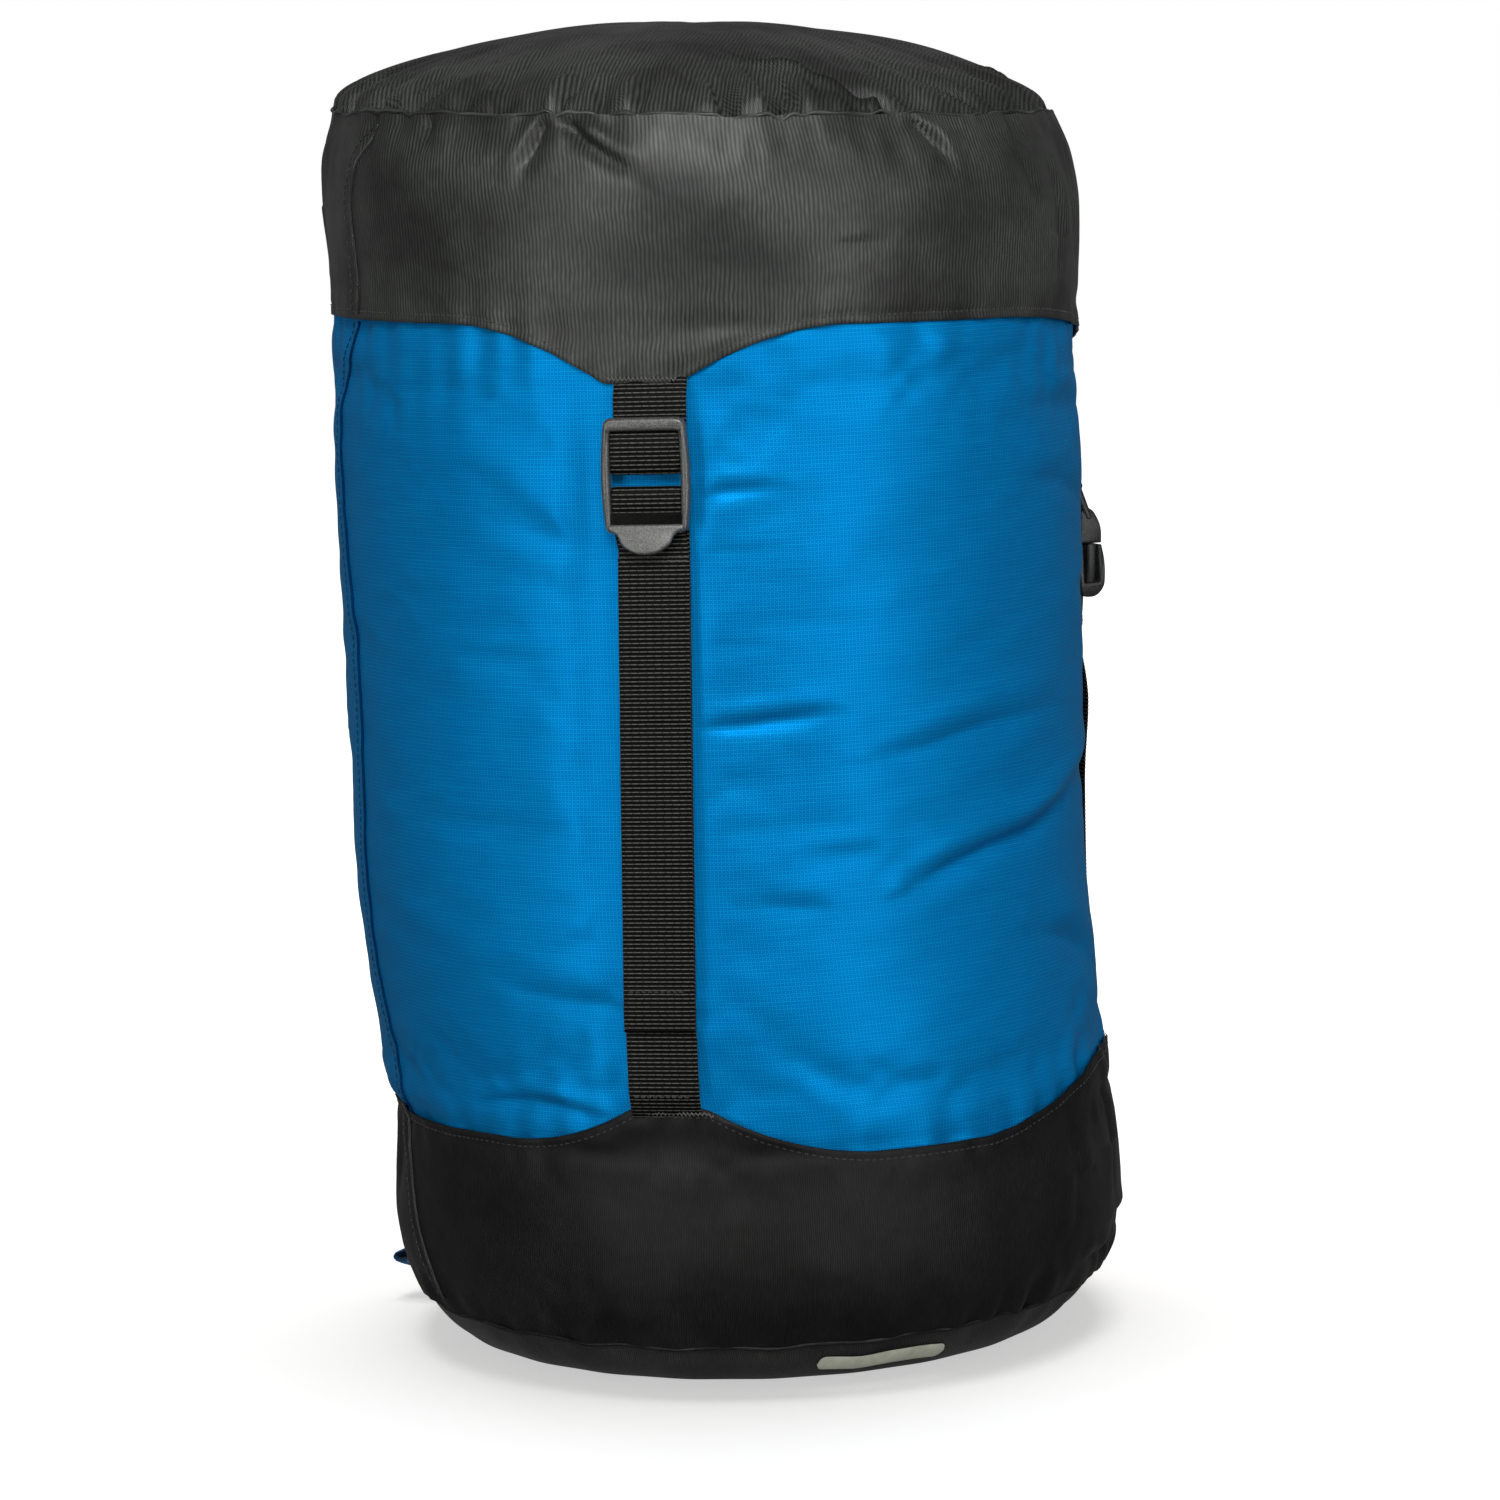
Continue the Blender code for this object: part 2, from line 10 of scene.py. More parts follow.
import bmesh
import bpy
import numpy as np
from mathutils import Matrix, Vector


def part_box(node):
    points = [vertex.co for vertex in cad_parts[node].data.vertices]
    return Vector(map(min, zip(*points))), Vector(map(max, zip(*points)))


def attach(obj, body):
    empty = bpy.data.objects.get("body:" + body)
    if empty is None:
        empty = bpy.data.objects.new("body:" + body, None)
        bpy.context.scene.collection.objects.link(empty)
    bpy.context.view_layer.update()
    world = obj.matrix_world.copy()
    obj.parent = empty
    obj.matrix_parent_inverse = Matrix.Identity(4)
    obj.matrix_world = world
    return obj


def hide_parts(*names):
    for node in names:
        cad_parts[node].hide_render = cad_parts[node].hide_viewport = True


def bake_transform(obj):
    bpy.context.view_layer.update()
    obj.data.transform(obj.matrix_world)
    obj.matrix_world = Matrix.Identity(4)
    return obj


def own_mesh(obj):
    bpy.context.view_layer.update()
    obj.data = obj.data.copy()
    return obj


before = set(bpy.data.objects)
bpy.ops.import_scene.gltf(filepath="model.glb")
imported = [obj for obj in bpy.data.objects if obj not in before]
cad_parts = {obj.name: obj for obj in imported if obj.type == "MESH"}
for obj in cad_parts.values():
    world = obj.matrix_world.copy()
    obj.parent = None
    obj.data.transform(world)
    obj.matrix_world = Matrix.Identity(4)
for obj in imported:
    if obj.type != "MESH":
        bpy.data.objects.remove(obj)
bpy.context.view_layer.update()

# ---------------------------------------------------------------- dimensions
MM = 0.001
HEM_ROOM = 1.1 * MM                 # the body stays this far inside a hem that covers it
HEM_STITCH = 2.7 * MM               # how far a hem's stitches lie from its edge
BILLOW_SHARE = 0.30                 # how much of the simulated billowing a packed, taut sack keeps
COLUMNS = 480                       # points round each shell
ROW_STEP = 1.6 * MM                 # height of a row of a shell

LID_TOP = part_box("lid_disc")[1].z
DOME_FOOT = 0.4475                  # the height that the lid's dome rises from
LID_SEAM_Z = 0.4488
LID_SEAM_R = 0.1300
LID_HEM_Z = 0.3768
LID_HEM_DIP = 0.0175
BASE_SEAM_Z = 0.0175
BASE_SEAM_R = 0.1265
BASE_HEM_Z = 0.0872
BASE_HEM_PEAK = 0.0170
TIP_HALF = 5.5                      # degrees to either side over which a hem's point is level
DOME_POWER = 0.68

FRONT, SIDE, REAR = 0.0, 120.0, 240.0
STRAP_HALF = 0.0125
CLOTH_R = 0.1345                    # where lengths of cloth are measured round the sack
WEBBING_THICK = 1.3 * MM
SLACK = 1.2 * MM                    # how far the body's cloth stands out between its bands
STRAP_BED_R = 0.1346                # the fabric is pressed in to this under the straps

LEAN_AZIMUTH = math.radians(10.0)   # the way the soft sack slumps to one side
BODY_SEAM = ((0.080, -60), (0.109, -61.5), (0.137, -63.5), (0.176, -63), (0.204, -62),
             (0.270, -62), (0.320, -65), (0.349, -64), (0.378, -57), (0.400, -56))


# ------------------------------------------------------------------ outlines
def curve_through(stops):
    """A smooth function through (position, value) stops."""
    xs, ys = (np.array(a, float) for a in zip(*stops))
    slope = np.gradient(ys, xs)

    def value(x):
        x = np.clip(x, xs[0], xs[-1])
        i = np.clip(np.searchsorted(xs, x) - 1, 0, len(xs) - 2)
        h = xs[i + 1] - xs[i]
        t = (x - xs[i]) / h
        a = (1 + 2 * t) * (1 - t) ** 2
        b = t * (1 - t) ** 2 * h
        c = t * t * (3 - 2 * t)
        d = t * t * (t - 1) * h
        return a * ys[i] + b * slope[i] + c * ys[i + 1] + d * slope[i + 1]

    return value


lean = curve_through([(0.0, 0.0069), (0.04, 0.0079), (0.08, 0.0069), (0.12, 0.0025),
                      (0.17, -0.0022), (0.22, -0.0026), (0.36, -0.0028),
                      (0.42, -0.0028), (0.446, -0.0050), (0.462, -0.0060),
                      (0.485, -0.0020)])
base_radius = curve_through([(0.014, 0.1255), (0.022, 0.1285), (0.032, 0.1318),
                             (0.045, 0.1340), (0.060, 0.1341), (0.080, 0.1332),
                             (0.100, 0.1330), (0.115, 0.1334)])
body_radius = curve_through([(0.070, 0.1312), (0.095, 0.1314), (0.110, 0.1319),
                             (0.140, 0.1326), (0.200, 0.1334), (0.280, 0.1343),
                             (0.340, 0.1349), (0.370, 0.1344), (0.400, 0.1328),
                             (0.430, 0.1308), (0.442, 0.1288)])
lid_radius = curve_through([(0.352, 0.1362), (0.370, 0.1362), (0.385, 0.1357),
                            (0.402, 0.1364), (0.420, 0.1369), (0.434, 0.1353),
                            (0.448, 0.1308), (0.456, 0.1290)])
body_seam_angle = curve_through(BODY_SEAM)


def turn(angle, centre):
    """How far an angle is round from a centre, from -180 to 180 degrees."""
    return (np.asarray(angle, float) - centre + 180.0) % 360.0 - 180.0


def smooth(x):
    x = np.clip(x, 0.0, 1.0)
    return x * x * (3 - 2 * x)


def peak(place, middle, reach):
    """1 at the middle, falling off to either side."""
    return np.exp(-((place - middle) / reach) ** 2)


def bump_round(angle, centre, reach):
    return peak(turn(angle, centre), 0, reach)


def level(value):
    """The same value everywhere, as a function."""
    return lambda place: value + 0 * place


def scallop(angle, centre, reach):
    """A hem's point over a strap: 1 at its flat tip, curving out to 0 at its reach."""
    away = np.maximum(np.abs(turn(angle, centre)), TIP_HALF)
    return np.clip((reach - away) / (reach - TIP_HALF), 0, 1) ** 2


def lid_hem(angle):
    points = 1.12 * scallop(angle, FRONT + 0.8, 31) + scallop(angle, SIDE, 62) + scallop(angle, REAR, 36)
    return LID_HEM_Z - LID_HEM_DIP * points - 0.0030 * np.sin(np.radians(angle))


def lid_seam(angle):
    gather = 0.9 * MM * np.sin(np.radians(angle * 14 + 20)) * np.sin(np.radians(angle * 5))
    return LID_SEAM_Z - 0.0042 * np.sin(np.radians(angle + 8)) + gather


def base_hem(angle):
    away = np.abs(turn(angle, 2))
    right = smooth((away - 45) / 40)
    left = 0.08 * smooth((away - 42) / 20) + 0.92 * smooth((away - 98) / 24)
    sides = np.where(turn(angle, 2) > 0, right, left) * smooth((172 - away) / 38)
    peaks = BASE_HEM_PEAK * (scallop(angle, FRONT - 1.5, 31) + sides)
    peaks = peaks + 0.0025 * (scallop(angle, SIDE, 20) + scallop(angle, REAR, 20))
    tilt = 0.0024 * bump_round(angle, -34, 15) - 0.0016 * np.sin(np.radians(angle))
    return BASE_HEM_Z + peaks + tilt


def base_seam(angle):
    front = np.cos(np.radians(angle))
    return BASE_SEAM_Z + 0.0035 * (1 - front) + 0.5 * MM * np.sin(np.radians(angle * 23))


def on_sack(angle, radius, z, across=0.0):
    a = np.radians(angle)
    x = radius * np.sin(a) + across * np.cos(a)
    y = -radius * np.cos(a) + across * np.sin(a)
    return np.stack(np.broadcast_arrays(x, y, z), -1)


def leaning(points):
    shift = lean(points[..., 2])
    points = points.copy()
    points[..., 0] += shift * math.cos(LEAN_AZIMUTH)
    points[..., 1] += shift * math.sin(LEAN_AZIMUTH)
    return points


# -------------------------------------------------------------------- fabric
RIPPLE_WAVES = 22


def ripple(angle, z, low, high, seed, slant=0.0):
    """Gathers round the sack: a sum of waves of low to high cycles per turn, about -1 to 1."""
    draw = np.random.RandomState(seed)
    total = 0.0
    for _ in range(RIPPLE_WAVES):
        cycles = draw.randint(low, high + 1)
        phase = draw.uniform(0, 2 * math.pi)
        climb = draw.normal(0, 1) * slant
        total = total + np.sin(np.radians(angle) * cycles + z * climb + phase)
    return total / math.sqrt(RIPPLE_WAVES * 1.4)


class Fold:
    """A crease along a path of (angle, z): a sharp valley, with the cloth rolled up above it.

    Its depth and width are in millimetres.
    """
    DEEPEN = 1.35

    def __init__(self, path, depth, width, roll=0.6):
        path = np.array(path, float)
        ends = np.arange(len(path))
        fine = np.linspace(0, len(path) - 1, 12 * (len(path) - 1) + 1)
        angle = curve_through(list(zip(ends, path[:, 0])))(fine)
        z = curve_through(list(zip(ends, path[:, 1])))(fine)
        self.line = np.stack([np.radians(angle) * CLOTH_R, z], -1)
        self.depth, self.width, self.roll = self.DEEPEN * depth * MM, width * MM, roll

    def height(self, angle, z):
        middle = np.degrees(self.line[:, 0].mean() / CLOTH_R)
        u = np.radians(turn(angle, middle) + middle) * CLOTH_R
        reach = 6 * self.width
        near = (u > self.line[:, 0].min() - reach) & (u < self.line[:, 0].max() + reach)
        near &= (z > self.line[:, 1].min() - reach) & (z < self.line[:, 1].max() + reach)
        out = np.zeros(np.shape(u))
        if not near.any():
            return out
        p = np.stack([u[near], z[near]], -1)
        start, step = self.line[:-1], np.diff(self.line, axis=0)
        rel = p[:, None] - start[None]
        t = np.clip((rel * step).sum(-1) / (step ** 2).sum(-1), 0, 1)
        off = rel - t[..., None] * step[None]
        distance = np.sqrt((off ** 2).sum(-1))
        best = distance.argmin(1)
        pick = np.arange(len(p))
        cross = step[best, 0] * rel[pick, best, 1] - step[best, 1] * rel[pick, best, 0]
        side = distance[pick, best] * np.where(cross * np.sign(step[best, 0] + 1e-9) >= 0, 1, -1)
        along = (best + t[pick, best]) / len(step)
        taper = np.sin(np.pi * np.clip(0.04 + 0.92 * along, 0, 1)) ** 0.7
        s = side / self.width
        valley = -np.exp(-np.abs(s) ** 1.15)
        swell = self.roll * np.exp(-((s - 1.9) / 1.5) ** 2)
        out[near] = self.depth * taper * (valley + swell)
        return out


# (path of (angle, z), depth, width, roll)
BODY_FOLDS = [Fold(*row) for row in (
    ([(9, 0.3180), (14, 0.3196), (20, 0.3200)], 1.4, 2.4),
    ([(8, 0.2990), (22, 0.2980)], 0.5, 3.0),
    ([(8, 0.2670), (19, 0.2655)], 0.5, 3.0),
    ([(7, 0.2380), (16, 0.2388), (27, 0.2412)], 2.1, 2.8),
    ([(35, 0.2250), (43, 0.2268), (55, 0.2320), (74, 0.2332)], 1.5, 4.5),
    ([(41, 0.1790), (48, 0.1840), (56, 0.1880), (66, 0.1910), (84, 0.2030), (104, 0.2100)], 3.0, 4.2),
    ([(15, 0.1762), (27, 0.1728)], 0.7, 3.2),
    ([(66, 0.1540), (78, 0.1470), (88, 0.1370)], 1.9, 5.0),
    ([(66, 0.3420), (82, 0.3405), (98, 0.3380)], 1.1, 5.0),
    ([(64, 0.3180), (80, 0.3120), (96, 0.3020)], 1.2, 5.0),
    ([(-18, 0.3070), (-5, 0.2970)], 0.7, 5.0),
    ([(-27, 0.1460), (-14, 0.1420), (-5, 0.1400)], 0.8, 5.0),
    ([(-36, 0.1010), (-24, 0.1045), (-12, 0.1010)], 1.5, 2.4),
    ([(134, 0.2560), (150, 0.2500), (166, 0.2540)], 1.6, 4.5),
    ([(176, 0.2050), (192, 0.1980), (210, 0.2010)], 1.8, 4.5),
    ([(140, 0.1560), (158, 0.1620), (172, 0.1600)], 1.3, 4.5),
    ([(196, 0.3120), (214, 0.3060), (226, 0.3080)], 1.4, 4.5),
    ([(256, 0.2300), (270, 0.2240), (284, 0.2270)], 1.5, 4.5),
    ([(254, 0.1500), (268, 0.1540)], 1.2, 4.5),
    ([(104, 0.2880), (116, 0.2830), (132, 0.2860)], 1.2, 4.5),
)]
LID_FOLDS = [Fold(*row) for row in (
    ([(28, 0.4020), (38, 0.4022)], 0.6, 2.2),
    ([(39, 0.4560), (47, 0.4400), (50, 0.4300)], 4.0, 2.5, 0.5),
    ([(-11.5, 0.4560), (-13, 0.4420), (-15.5, 0.4310)], 4.2, 2.4, 0.5),
    ([(-12, 0.4560), (-6, 0.4400), (0.5, 0.4290)], 4.4, 2.5, 0.6),
    ([(-34, 0.4520), (-32, 0.4380)], 2.2, 2.4, 0.3),
    ([(62, 0.4400), (68, 0.4250), (70, 0.4150)], 1.1, 2.6, 0.4),
    ([(76, 0.4300), (79, 0.4050), (78, 0.3850)], 1.4, 3.4, 0.5),
    ([(88, 0.4350), (87, 0.4120), (89, 0.3900)], 1.2, 3.0, 0.5),
    ([(150, 0.4400), (155, 0.4250), (154, 0.4100)], 1.6, 3.2, 0.4),
    ([(205, 0.4400), (201, 0.4230), (204, 0.4050)], 1.6, 3.2, 0.4),
    ([(280, 0.4400), (284, 0.4200), (282, 0.4000)], 1.3, 3.2, 0.4),
)]
BASE_FOLDS = [Fold(*row) for row in (
    ([(68, 0.0880), (70, 0.0650), (68, 0.0450)], 1.2, 3.6, 0.5),
    ([(84, 0.0950), (87, 0.0700), (85, 0.0480)], 1.3, 3.6, 0.5),
    ([(86, 0.0400), (98, 0.0370)], 2.2, 2.6, 0.4),
    ([(74, 0.0300), (88, 0.0300)], 1.8, 2.4, 0.4),
    ([(-66, 0.0800), (-70, 0.0560)], 1.0, 3.4, 0.5),
    ([(160, 0.0860), (164, 0.0600), (160, 0.0420)], 1.4, 3.6, 0.5),
    ([(200, 0.0840), (196, 0.0600)], 1.3, 3.6, 0.5),
)]


def catmull(t):
    """Weights of the four points about a place at fraction t between the middle two."""
    return np.stack([-t + 2 * t ** 2 - t ** 3, 2 - 5 * t ** 2 + 3 * t ** 3,
                     t + 4 * t ** 2 - 3 * t ** 3, -t ** 2 + t ** 3]) / 2


def add_object(name, data):
    """A new object, in the scene."""
    piece = bpy.data.objects.new(name, data)
    bpy.context.scene.collection.objects.link(piece)
    return piece


class Billow:
    """How far the filled sack's cloth moved in the simulation, looked up by angle and row."""
    COLUMNS = 150
    CAP = 4.0 * MM                  # the cloth never moves further than this
    STEPS = 20
    SETTINGS = {"quality": 6, "mass": 0.12, "tension_stiffness": 22, "compression_stiffness": 22,
                "shear_stiffness": 8, "bending_stiffness": 0.25, "vertex_group_mass": "held",
                "use_pressure": True, "uniform_pressure_force": 1.6, "shrink_min": -0.022}

    def __init__(self):
        """Inflates one coarse skin, from base to crown, between its seams, hems and straps."""
        z_side = np.concatenate([np.linspace(BASE_SEAM_Z, 0.088, 14), np.linspace(0.093, 0.371, 52),
                                 np.linspace(0.376, LID_SEAM_Z, 14)])
        r_side = np.where(z_side < 0.09, base_radius(z_side),
                          np.where(z_side < 0.373, body_radius(z_side), lid_radius(z_side)))
        ring = np.linspace(1, 0.05, 20)[1:]
        r_base, r_crown = BASE_SEAM_R * ring[::-1], LID_SEAM_R * ring
        z_base, z_crown = base_floor(ring[::-1]), LID_SEAM_Z + crown_rise(ring)
        self.r = np.concatenate([r_base, r_side, r_crown])
        self.z = np.concatenate([z_base, z_side, z_crown])
        self.side = slice(len(r_base), len(r_base) + len(z_side))
        self.crown = slice(len(r_base) + len(z_side) - 1, len(self.r))
        self.ring = np.concatenate([[1.0], ring])
        self.angle = np.arange(self.COLUMNS) * 360.0 / self.COLUMNS
        rest = on_sack(self.angle[None, :], self.r[:, None], self.z[:, None])
        moved = self.simulate(rest)
        shift = moved - rest
        a = np.radians(self.angle)
        out = shift[..., 0] * np.sin(a) - shift[..., 1] * np.cos(a)
        self.out = self.CAP * np.tanh(out / self.CAP)
        self.up = self.CAP * np.tanh(shift[..., 2] / self.CAP)

    def pins(self, rest):
        """How firmly each point is held: fully at seams and hems, and along the straps."""
        z, angle = rest[..., 2], np.broadcast_to(self.angle, rest.shape[:2])
        held = np.zeros(rest.shape[:2])
        for level in (BASE_SEAM_Z, BASE_HEM_Z, LID_HEM_Z, LID_SEAM_Z):
            held = np.maximum(held, np.abs(z - level) < 3.0 * MM)
        for strap in (FRONT, SIDE, REAR):
            beside = np.abs(turn(angle, strap)) < 6
            held = np.maximum(held, 0.9 * (beside & (z > 0.09) & (z < 0.372)))
        held[z < 0.004] = 1.0
        return held

    def simulate(self, rest):
        rows, columns = rest.shape[:2]
        mesh = bpy.data.meshes.new("skin")
        mesh.from_pydata(rest.reshape(-1, 3).tolist(), [], lattice_faces(rows, columns))
        skin = add_object("skin", mesh)
        group = skin.vertex_groups.new(name="held")
        for i, weight in enumerate(self.pins(rest).ravel()):
            group.add([i], float(weight), "REPLACE")
        cloth = skin.modifiers.new("cloth", "CLOTH")
        cloth.settings.effector_weights.gravity = 0
        for setting, value in self.SETTINGS.items():
            setattr(cloth.settings, setting, value)
        cloth.point_cache.frame_end = self.STEPS
        scene = bpy.context.scene
        for number in range(1, self.STEPS + 1):
            scene.frame_set(number)
        shape = skin.evaluated_get(bpy.context.evaluated_depsgraph_get())
        moved = np.zeros(rows * columns * 3)
        shape.data.vertices.foreach_get("co", moved)
        scene.frame_set(1)
        bpy.data.objects.remove(skin)
        return moved.reshape(rows, columns, 3)

    def lookup(self, grid, place, row_stops, angle):
        """A smooth value of grid at fractional rows, found from place among row_stops."""
        row = np.interp(place, row_stops, np.arange(len(row_stops)))
        column = (np.asarray(angle) % 360.0) * self.COLUMNS / 360.0
        row, column = np.broadcast_arrays(row, column)
        i, j = np.floor(row).astype(int), np.floor(column).astype(int)
        wi, wj = catmull(row - i), catmull(column - j)
        total = 0.0
        for a in range(4):
            for b in range(4):
                ri = np.clip(i + a - 1, 0, len(row_stops) - 1)
                total = total + wi[a] * wj[b] * grid[ri, (j + b - 1) % self.COLUMNS]
        return total

    def side_out(self, angle, z):
        return self.lookup(self.out[self.side], z, self.z[self.side], angle)

    def crown_up(self, angle, ring):
        return self.lookup(self.up[self.crown][::-1], ring, self.ring[::-1], angle)


def lattice_faces(rows, columns, closed=True):
    """Quads of a lattice; with its columns going round and its rows up, they face out."""
    i = np.arange(rows - 1)[:, None] * columns
    j = np.arange(columns if closed else columns - 1)[None, :]
    k = (j + 1) % columns
    quads = np.stack([i + j, i + k, i + columns + k, i + columns + j], -1)
    return quads.reshape(-1, 4).tolist()


def crown_rise(ring):
    return (LID_TOP - DOME_FOOT) * np.maximum(1 - np.asarray(ring) ** 2, 0) ** DOME_POWER


base_floor = curve_through([(0.0, 0.0), (0.5, 0.0), (0.72, 0.0001), (0.82, 0.0010), (0.90, 0.0042),
                            (0.96, 0.0105), (1.0, BASE_SEAM_Z)])

billow = Billow()


def bed(angle, z, radius):
    """The fabric pressed in under the straps, from the base band's hem to the lid's."""
    side = smooth((z - 0.085) / 0.02) * smooth((0.392 - z) / 0.02)
    for strap in (FRONT, SIDE, REAR):
        away = np.abs(turn(angle, strap))
        press = side * smooth((12.5 - away) / 5.5)
        shift = lean(z) * math.cos(math.radians(strap) - math.pi / 2 - LEAN_AZIMUTH)
        room = STRAP_BED_R - shift
        radius = radius + press * np.minimum(room - radius, 0)
        swell = smooth((away - 7) / 5) * smooth((24 - away) / 10)
        radius = radius + 0.5 * MM * swell * side
    return radius


def body_surface(angle, z):
    r = body_radius(z) + BILLOW_SHARE * billow.side_out(angle, z)
    for fold in BODY_FOLDS:
        r = r + fold.height(angle, z)
    under_lid = np.clip(lid_hem(angle) - z, 0, 1)
    over_base = np.clip(z - base_hem(angle), 0, 1)
    r = r + 0.9 * MM * ripple(angle, z, 26, 62, 3, 60) * np.exp(-under_lid / 0.014)
    r = r + 0.8 * MM * ripple(angle, z, 24, 58, 4, 60) * np.exp(-over_base / 0.012)
    r = r + 2.8 * MM * peak(over_base, 0.013, 0.010) * bump_round(angle, -80, 26)
    r = r + 0.55 * MM * ripple(angle, z, 3, 9, 5, 70)
    r = r + 0.22 * MM * ripple(angle, z, 8, 22, 6, 240)
    r = r + SLACK * (1 - np.exp(-under_lid / 0.02)) * (1 - np.exp(-over_base / 0.02))
    inside = body_radius(z) + 0.2 * MM
    hidden = np.maximum(smooth((z - lid_hem(angle) + 1 * MM) / 0.008),
                        smooth((base_hem(angle) - z + 1 * MM) / 0.008))
    r = bed(angle, z, r + hidden * np.minimum(inside - r, 0))
    lid_inside = lid_surface(angle, np.maximum(z, lid_hem(angle) + 1 * MM)) - HEM_ROOM
    base_inside = base_surface(angle, np.minimum(z, base_hem(angle) - 1 * MM)) - HEM_ROOM
    r = r + smooth((z - lid_hem(angle) + 5 * MM) / 0.005) * np.minimum(lid_inside - r, 0)
    return r + smooth((base_hem(angle) + 5 * MM - z) / 0.005) * np.minimum(base_inside - r, 0)


def stitch_groove(from_edge):
    """How deep a hem's stitches press in, at a distance from its edge."""
    return 0.35 * MM * peak(from_edge, HEM_STITCH, 0.9 * MM)


def lid_surface(angle, z):
    r = lid_radius(z - 0.6 * (lid_seam(angle) - LID_SEAM_Z)) + BILLOW_SHARE * billow.side_out(angle, z)
    below = np.clip(lid_seam(angle) - z, 0, 1)
    for fold in LID_FOLDS:
        r = r + fold.height(angle, z) * smooth(below / 0.005)
    above = np.clip(z - lid_hem(angle), 0, 1)
    gathers = np.minimum(ripple(angle, z, 24, 60, 7, 50), 0.4)
    r = r + 1.2 * MM * gathers * peak(below, 0.006, 0.009)
    r = r + 0.45 * MM * ripple(angle, z, 30, 66, 8, 60) * np.exp(-above / 0.010)
    r = r + 0.7 * MM * ripple(angle, z, 3, 8, 9, 50)
    r = r - stitch_groove(above)
    return r


def base_surface(angle, z):
    r = base_radius(z) + 0.5 * billow.side_out(angle, z)
    for fold in BASE_FOLDS:
        r = r + fold.height(angle, z)
    above = np.clip(z - base_seam(angle), 0, 1)
    below = np.clip(base_hem(angle) - z, 0, 1)
    r = r + 0.9 * MM * ripple(angle, z, 24, 64, 13, 40) * peak(above, 0.004, 0.008)
    r = r + 0.4 * MM * ripple(angle, z, 30, 70, 14, 60) * np.exp(-below / 0.012)
    r = r + 0.5 * MM * ripple(angle, z, 3, 9, 15, 50)
    r = r - stitch_groove(below)
    r = r - 2.0 * MM * bump_round(angle, -80, 26) * smooth(1 - below / 0.045)
    return r + 0.7 * MM * np.exp(-below / 0.012)


# -------------------------------------------------------------------- meshes
def add_mesh(name, points, faces, uvs=None, body=None):
    """A smooth-shaded piece; uvs is one (u, v) per point, in metres of cloth."""
    mesh = bpy.data.meshes.new(name)
    mesh.from_pydata(np.asarray(points, float).reshape(-1, 3).tolist(), [], faces)
    if uvs is not None:
        layer = mesh.uv_layers.new(name="cloth")
        corner = np.zeros(len(mesh.loops), int)
        mesh.loops.foreach_get("vertex_index", corner)
        flat = np.asarray(uvs, float).reshape(-1, 2)[corner]
        layer.data.foreach_set("uv", flat.ravel())
    mesh.polygons.foreach_set("use_smooth", [True] * len(mesh.polygons))
    mesh.update()
    piece = add_object(name, mesh)
    if body:
        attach(piece, body)
    return piece


def shell(name, body, points, uvs):
    """A lattice closed round the sack, its last column of cloth meeting the first."""
    rows, columns = points.shape[:2]
    points = np.concatenate([points, points[:, :1]], 1)
    uvs = np.concatenate([uvs, uvs[:, :1] + [[2 * math.pi * CLOTH_R, 0]]], 1)
    piece = add_mesh(name, points, lattice_faces(rows, columns + 1, closed=False), uvs)
    mend(piece.data, weld=1e-7)
    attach(piece, body)
    return piece


def mend(mesh, weld=None, outward=False):
    """Welds points that lie within a distance, and turns the faces outward."""
    bm = bmesh.new()
    bm.from_mesh(mesh)
    if weld:
        bmesh.ops.remove_doubles(bm, verts=bm.verts, dist=weld)
    if outward:
        bmesh.ops.recalc_face_normals(bm, faces=bm.faces)
    bm.to_mesh(mesh)
    bm.free()


ANGLES = np.arange(COLUMNS) * 360.0 / COLUMNS - 180.0


def band(name, body, surface, bottom, top, turn_in=None):
    """A band of cloth from bottom(angle) to top(angle); a hem turns in at one edge."""
    low, high = bottom(ANGLES), top(ANGLES)
    rows = int(round((high - low).mean() / ROW_STEP)) + 1
    share = np.linspace(0, 1, rows)[:, None]
    z = low + (high - low) * share
    angle = np.broadcast_to(ANGLES, z.shape)
    r = surface(angle, z)
    if turn_in:
        way = 1 if turn_in == "bottom" else -1
        inward, back = (np.array([[0.5, -0.35], [1.0, -0.2], [1.4, 0.6], [1.5, 3.0], [1.5, 7.0]]) * MM).T
        z, r = z[::way], r[::way]
        z = np.concatenate([(z[0] + way * back[:, None])[::-1], z])[::way]
        r = np.concatenate([(r[0] - inward[:, None])[::-1], r])[::way]
        angle = np.broadcast_to(ANGLES, z.shape)
    points = leaning(on_sack(angle, r, z))
    uvs = np.stack([np.radians(angle + 180.0) * CLOTH_R, z], -1)
    return shell(name, body, points, uvs)


